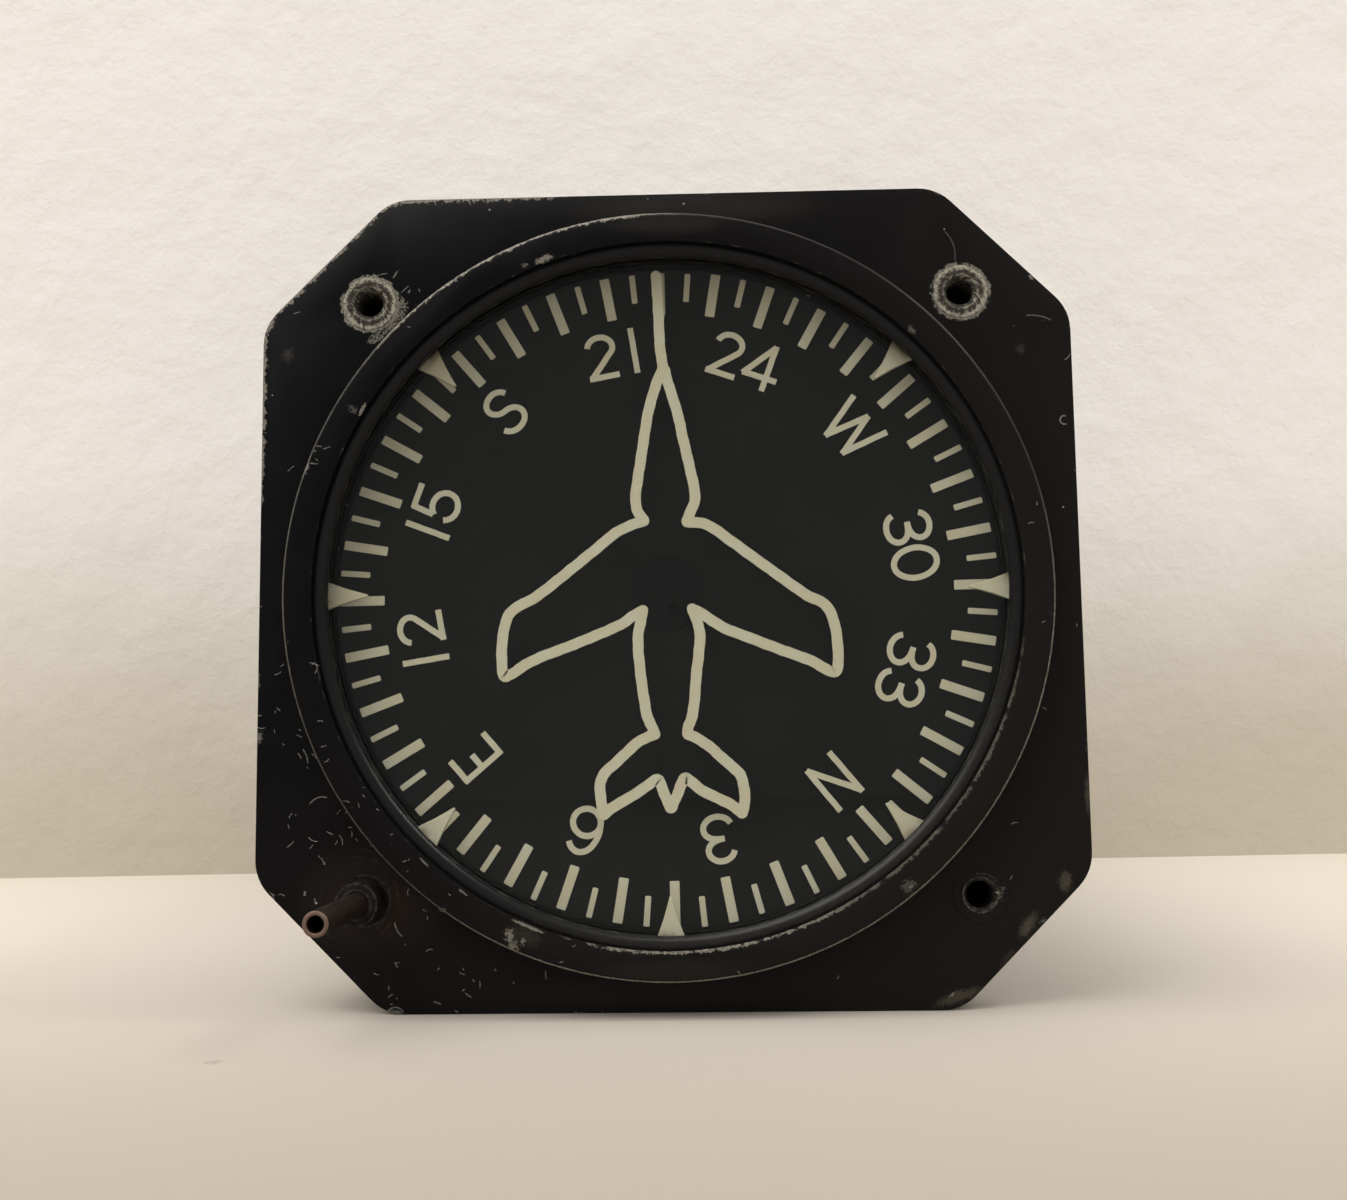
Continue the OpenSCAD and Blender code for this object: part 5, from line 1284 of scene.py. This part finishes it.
class GyroStage(bpy.types.PropertyGroup):
    """Camera, lamps and the plain surroundings."""

    table: tone("Table", "Pale table top", (0.82, 0.76, 0.67))
    wall: tone("Wall", "Pale wall behind the table", (0.935, 0.91, 0.885))
    # Painted shade of the table's front and of the wall's foot
    table_painted_shade: tone("Table, front", "Table top towards the camera", (0.48, 0.425, 0.355))
    wall_painted_shade: tone("Wall, foot", "Wall near the table", (0.60, 0.55, 0.46))
    room: strength("Room light", "Strength of the even light of the room", 0.68, 1.0)
    mirror: strength("Room in reflections", "Strength of the room in reflections", 0.16, 1.0)
    key: strength("Key lamp", "Power of the soft lamp at the upper left, in watts", 5.0, 30.0)
    fill: strength("Fill lamp", "Power of the small lamp at the right, in watts", 1.3, 30.0)
    lens: length("Lens", "Focal length for a 36 mm wide sensor", 37.26, 10.0, 200.0)
    lean: FloatProperty(name="Lean", description="How far the table falls towards the front, as it stands",
                        subtype="ANGLE", unit="ROTATION", default=math.radians(1.163))
    seed: IntProperty(name="Seed", description="Seed of the uneven marks", default=7, min=1)


class GyroOperator:
    """What all the operators share."""

    bl_options = {"REGISTER", "UNDO"}

    def execute(self, context):
        scene = context.scene
        self.build(scene.gyro_finish, scene.gyro_sizes, scene.gyro_stage)
        return {"FINISHED"}


class GYRO_OT_case(GyroOperator, bpy.types.Operator):
    """Round the edges of the case and give it its worn enamel"""

    bl_idname = "gyro.case"
    bl_label = "Case"

    def build(self, finish, sizes, stage):
        def chosen(middle):
            radius = math.hypot(middle.x, middle.z)
            outline = max(abs(middle.x), abs(middle.z)) > 42.3 or (abs(middle.x) + abs(middle.z)) > 71.2
            rim = middle.y < BEZEL_FRONT + 0.5 and radius > BORE_R - 0.1
            return (outline and middle.y < FLANGE_T + 0.1) or rim

        rounded_piece("case", "case_casting", sizes.case_round, chosen, make_enamel(finish), "housing",
                      "case_enamel")


class GYRO_OT_inserts(GyroOperator, bpy.types.Operator):
    """Cut the threads of the mounting inserts and scrape their faces"""

    bl_idname = "gyro.inserts"
    bl_label = "Mounting inserts"

    def build(self, finish, sizes, stage):
        new_piece("mount_insert_threads", insert_mesh(), make_scraped_alloy(finish), "housing",
                  "insert_metal", "mount_inserts")


class GYRO_OT_glazing(GyroOperator, bpy.types.Operator):
    """Finish the retaining ring, the cover glass, the gasket and the mask"""

    bl_idname = "gyro.glazing"
    bl_label = "Glass and ring"

    def build(self, finish, sizes, stage):
        give("retaining_ring", make_ring_steel(finish))
        give("cover_glass", make_glass(finish))
        give("dial_mask", make_flat_black("Flat black mask", (0.0045, 0.0045, 0.0045)))
        rubber = make_soft_finish("Gasket rubber", (0.020, 0.020, 0.021), (0.045, 0.043, 0.041), 2.0, 0.03)
        soft_piece("glass_gasket", "glass_seal", 0.15, 0.04, 1.6, rubber, "housing", "gasket_rubber")


class GYRO_OT_fixed_marks(GyroOperator, bpy.types.Operator):
    """Print the aircraft outline on the glass and set the index pointers round the dial"""

    bl_idname = "gyro.fixed_marks"
    bl_label = "Fixed marks"

    def build(self, finish, sizes, stage):
        low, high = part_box("aircraft_symbol")
        mesh = stroke_mesh("aircraft_outline", [eased(points) for points in AIRCRAFT], sizes.outline,
                           low.y / MM + 0.02, high.y / MM, 0.02, True)
        new_piece("aircraft_outline", mesh, make_cream_paint(finish, "Aircraft outline paint", 0.0),
                  "housing", "print_cream", "aircraft_symbol")
        paint = make_cream_paint(finish, "Index pointer paint", 0.85)
        half = [(0.12, 31.25), (0.34, 32.1), (0.78, 33.6), (1.45, 35.42)]
        outline = [(-across, up) for across, up in reversed(half)] + half
        one = plate_mesh("index_pointer", outline, -0.17, 0.2)
        mesh = ring_of("index_pointer_set", one, paint, Count=7, First=45.0, Step=45.0,
                       Uneven=(0.02, 0.0, 0.0), Seed=stage.seed)
        new_piece("index_pointer_set", mesh, paint, "housing", "print_cream", "index_pointers")


class GYRO_OT_card(GyroOperator, bpy.types.Operator):
    """Paint the compass card and set its heading marks and figures"""

    bl_idname = "gyro.card"
    bl_label = "Compass card"

    def build(self, finish, sizes, stage):
        give("compass_card", make_flat_black("Flat black card", finish.card))
        give("card_hub", make_flat_black("Flat black hub", (0.0060, 0.0064, 0.0064), 5.0))
        paint = make_cream_paint(finish, "Heading mark paint", 0.3)
        low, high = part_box("card_markings")
        front, back = low.y / MM, high.y / MM
        major = plate_mesh("major_mark", bar_outline(1.0, 29.95, 34.6, sizes.mark_corner), front, back)
        minor = plate_mesh("minor_mark", bar_outline(0.62, 31.5, 34.6, sizes.mark_corner), front, back)
        uneven = (sizes.mark_uneven, 0.0, sizes.mark_uneven * 0.1)
        for name, one, first, more in (("major_heading_marks", major, 0.0, 3),
                                       ("minor_heading_marks", minor, 5.0, 11)):
            mesh = ring_of(name, one, paint, Count=36, First=first - UNDER_LUBBER, Step=10.0, Uneven=uneven,
                           Seed=stage.seed + more)
            new_piece(name, mesh, paint, "card", "print_cream", "card_markings")
        figures = stroke_mesh("heading_figures", figures_on_card(), sizes.figure_line, front, back + 0.02,
                              0.008)
        new_piece("heading_figures", figures, paint, "card", "print_cream", "card_markings")


class GYRO_OT_adjuster(GyroOperator, bpy.types.Operator):
    """Finish the bare adjuster shaft, its bush and the pieces on it"""

    bl_idname = "gyro.adjuster"
    bl_label = "Adjuster"

    def build(self, finish, sizes, stage):
        rounded_piece("adjuster_shaft", "adjuster_tube", sizes.small_round, lambda m: m.y < -17.9,
                      make_stained_brown(finish), "adjuster", "shaft_brown")
        rounded_piece("shaft_bush", "adjuster_bush", 2 * sizes.small_round,
                      lambda m: m.y < -3.5 and math.hypot(m.x + HOLE, m.z + HOLE) > 1.6,
                      make_bush_black(), "housing", "bush_black")
        cork = make_soft_finish("Clutch cork", (0.16, 0.09, 0.05), (0.32, 0.2, 0.12), 2.4, 0.08)
        soft_piece("clutch_facing", "cork_facing", 0.12, 0.05, 0.9, cork, "adjuster", "clutch_cork")


class GYRO_OT_works(GyroOperator, bpy.types.Operator):
    """Finish the gears, the gimbals, the rotor and the steel pieces inside"""

    bl_idname = "gyro.works"
    bl_label = "Works"

    def build(self, finish, sizes, stage):
        finishes = {
            "gear_brass": make_metal("Cut brass", (0.72, 0.50, 0.20), (0.50, 0.33, 0.13), rough=0.24,
                                     grain=4.0, lines=6.0),
            "plain_steel": make_metal("Ground steel", (0.56, 0.56, 0.57), (0.38, 0.37, 0.36), rough=0.26,
                                      grain=5.0, lines=8.0),
            "cast_alloy": make_metal("Cast alloy", (0.60, 0.60, 0.60), (0.42, 0.41, 0.40), rough=0.42,
                                     grain=2.2),
        }
        for row in frame["record"]["subparts"]:
            if row["material_slot"] in finishes:
                give(row["node"], finishes[row["material_slot"]])
        low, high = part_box("return_spring")
        mesh = coil_mesh("return_coil", (low, high), SPRING_WIRE * MM, 5)
        coil = new_piece("return_coil", mesh, finishes["plain_steel"], "housing", "plain_steel",
                         "return_spring")
        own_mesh(coil)


class GYRO_OT_rear(GyroOperator, bpy.types.Operator):
    """Finish the rear cover, its screws, the nipple and the air filter"""

    bl_idname = "gyro.rear"
    bl_label = "Rear end"

    def build(self, finish, sizes, stage):
        steel, rubber, brass, alloy = (bpy.data.materials[name] for name in
                                       ("Ground steel", "Gasket rubber", "Cut brass", "Cast alloy"))
        rounded_piece("rear_cover", "cover_casting", sizes.case_round, lambda m: m.y > COVER_BACK - 1.0,
                      make_barrel_enamel(finish), "housing", "case_enamel")
        soft_piece("rear_gasket", "cover_seal", 0.2, 0.05, 2.4, rubber, "housing", "gasket_rubber")
        felt = make_soft_finish("Filter felt", (0.55, 0.50, 0.40), (0.74, 0.70, 0.60), 1.6, 0.2)
        soft_piece("air_filter", "felt_filter", 1.2, 0.35, 1.3, felt, "housing", "filter_felt")
        for node, name, clear, material, slot in (
                ("filter_housing", "filter_cup", 1.0, alloy, "cast_alloy"),
                ("filter_cap", "filter_grille", 1.0, alloy, "cast_alloy"),
                ("vacuum_nipple", "nipple_turned", 0.5, brass, "gear_brass")):
            rounded_piece(node, name, sizes.small_round, lambda m: m.y > COVER_BACK + clear, material,
                          "housing", slot)
        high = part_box("cover_screws")[1]
        head_r, head_t = 2.4, high.y / MM - COVER_BACK
        reach = high.x / MM - head_r
        one = screw_mesh("cover_screw", reach, COVER_BACK, head_r, head_t, 1.25, 10.0)
        mesh = ring_of("cover_screw_set", one, steel, Count=6, Step=60.0, Spin=360.0,
                       Own_axis=(reach * MM, 0.0, 0.0), Seed=stage.seed)
        new_piece("cover_screw_set", mesh, steel, "housing", "plain_steel", "cover_screws")


class GYRO_OT_stage(GyroOperator, bpy.types.Operator):
    """Set the table, the wall, the lamps and the camera"""

    bl_idname = "gyro.stage"
    bl_label = "Stage"

    def build(self, finish, sizes, stage):
        table_mesh = bpy.data.meshes.new("table")
        low = TABLE_TOP * MM
        fall = math.tan(stage.lean)
        corners = [(-0.9, -0.9), (0.9, -0.9), (0.9, 0.9), (-0.9, 0.9)]
        table_mesh.from_pydata([(x, y, low + y * fall) for x, y in corners], [], [(0, 1, 2, 3)])
        wall_mesh = bpy.data.meshes.new("wall")
        left, right = Vector((-0.9, 0.0669)), Vector((0.9, 0.1969))
        foot = [(p.x, p.y, low + p.y * fall) for p in (left, right)]
        head = [(p.x, p.y - 0.9 * fall, 0.9) for p in (left, right)]
        wall_mesh.from_pydata([foot[0], foot[1], head[1], head[0]], [], [(0, 1, 2, 3)])
        top = make_plaster("Table top", stage.table, stage.table_painted_shade, along=(1, -70, 60), wave=20,
                           bump_scale=9.0, depth=0.25, soiled=0.5, mirror=1.0)
        plaster = make_plaster("Wall plaster", stage.wall, stage.wall_painted_shade, along=(2, -38, 45), wave=25,
                               bump_scale=60.0, depth=1.2, soiled=0.15, mirror=0.0)
        for name, mesh, material in (("table", table_mesh, top), ("wall", wall_mesh, plaster)):
            mesh.materials.append(material)
            link(name, mesh)

        world = bpy.data.worlds.new("Room")
        bpy.context.scene.world = world
        world.use_nodes = True
        board = Board(world.node_tree)
        background = world.node_tree.nodes["Background"]
        board.feed(background.inputs["Color"], (1.0, 0.98, 0.955))
        path = board.add("ShaderNodeLightPath").outputs
        light = board.scale(only_mirrored(board), stage.room, stage.mirror)
        shown = board.add("ShaderNodeMix", {0: path["Is Camera Ray"], 2: light, 3: 0.9}).outputs[0]
        board.feed(background.inputs["Strength"], shown)

        for name, power, size, place in (("Key lamp", stage.key, (0.9, 0.7), (-0.40, -0.22, 0.75)),
                                         ("Fill lamp", stage.fill, (0.25, 0.25), (0.55, -0.05, 0.60))):
            lamp = bpy.data.lights.new(name, "AREA")
            lamp.shape = "RECTANGLE"
            lamp.size, lamp.size_y = size
            lamp.energy = power
            lamp.color = (1.0, 0.975, 0.93)
            holder = link(name, lamp)
            holder.location = place
            aim = Vector((0.0, 0.03, 0.0)) - holder.location
            holder.rotation_euler = aim.to_track_quat("-Z", "Y").to_euler()

        data = bpy.data.cameras.new("Camera")
        data.lens = stage.lens
        data.sensor_width = 36.0
        data.sensor_fit = "HORIZONTAL"
        data.clip_start = 0.01
        camera = link("Camera", data)
        camera.location = CAMERA_PLACE
        camera.rotation_euler = tuple(math.radians(a) for a in CAMERA_TURN)
        bpy.context.scene.camera = camera
        bpy.context.scene.view_settings.view_transform = "Standard"


class GYRO_PT_panel(bpy.types.Panel):
    """The instrument's pieces, colours and sizes"""

    bl_idname = "GYRO_PT_panel"
    bl_label = "Directional gyro indicator"
    bl_space_type = "VIEW_3D"
    bl_region_type = "UI"
    bl_category = "Gyro"

    def draw(self, context):
        layout = self.layout
        for operator in OPERATORS:
            layout.operator(operator.bl_idname)
        for group in (context.scene.gyro_finish, context.scene.gyro_sizes, context.scene.gyro_stage):
            box = layout.box()
            for name in group.__annotations__:
                box.prop(group, name)


GROUPS = (GyroFinish, GyroSizes, GyroStage)
OPERATORS = (GYRO_OT_case, GYRO_OT_inserts, GYRO_OT_glazing, GYRO_OT_fixed_marks, GYRO_OT_card,
             GYRO_OT_adjuster, GYRO_OT_works, GYRO_OT_rear, GYRO_OT_stage)


def register():
    for item in (*GROUPS, *OPERATORS, GYRO_PT_panel):
        bpy.utils.register_class(item)
    bpy.types.Scene.gyro_finish = PointerProperty(type=GyroFinish)
    bpy.types.Scene.gyro_sizes = PointerProperty(type=GyroSizes)
    bpy.types.Scene.gyro_stage = PointerProperty(type=GyroStage)


def unregister():
    del bpy.types.Scene.gyro_finish, bpy.types.Scene.gyro_sizes, bpy.types.Scene.gyro_stage
    for item in (GYRO_PT_panel, *reversed(OPERATORS), *reversed(GROUPS)):
        bpy.utils.unregister_class(item)


def main():
    register()
    make_shader_groups()
    make_ring_tree()
    for operator in OPERATORS:
        section, call = operator.bl_idname.split(".")
        getattr(getattr(bpy.ops, section), call)()


if __name__ == "__main__":
    main()
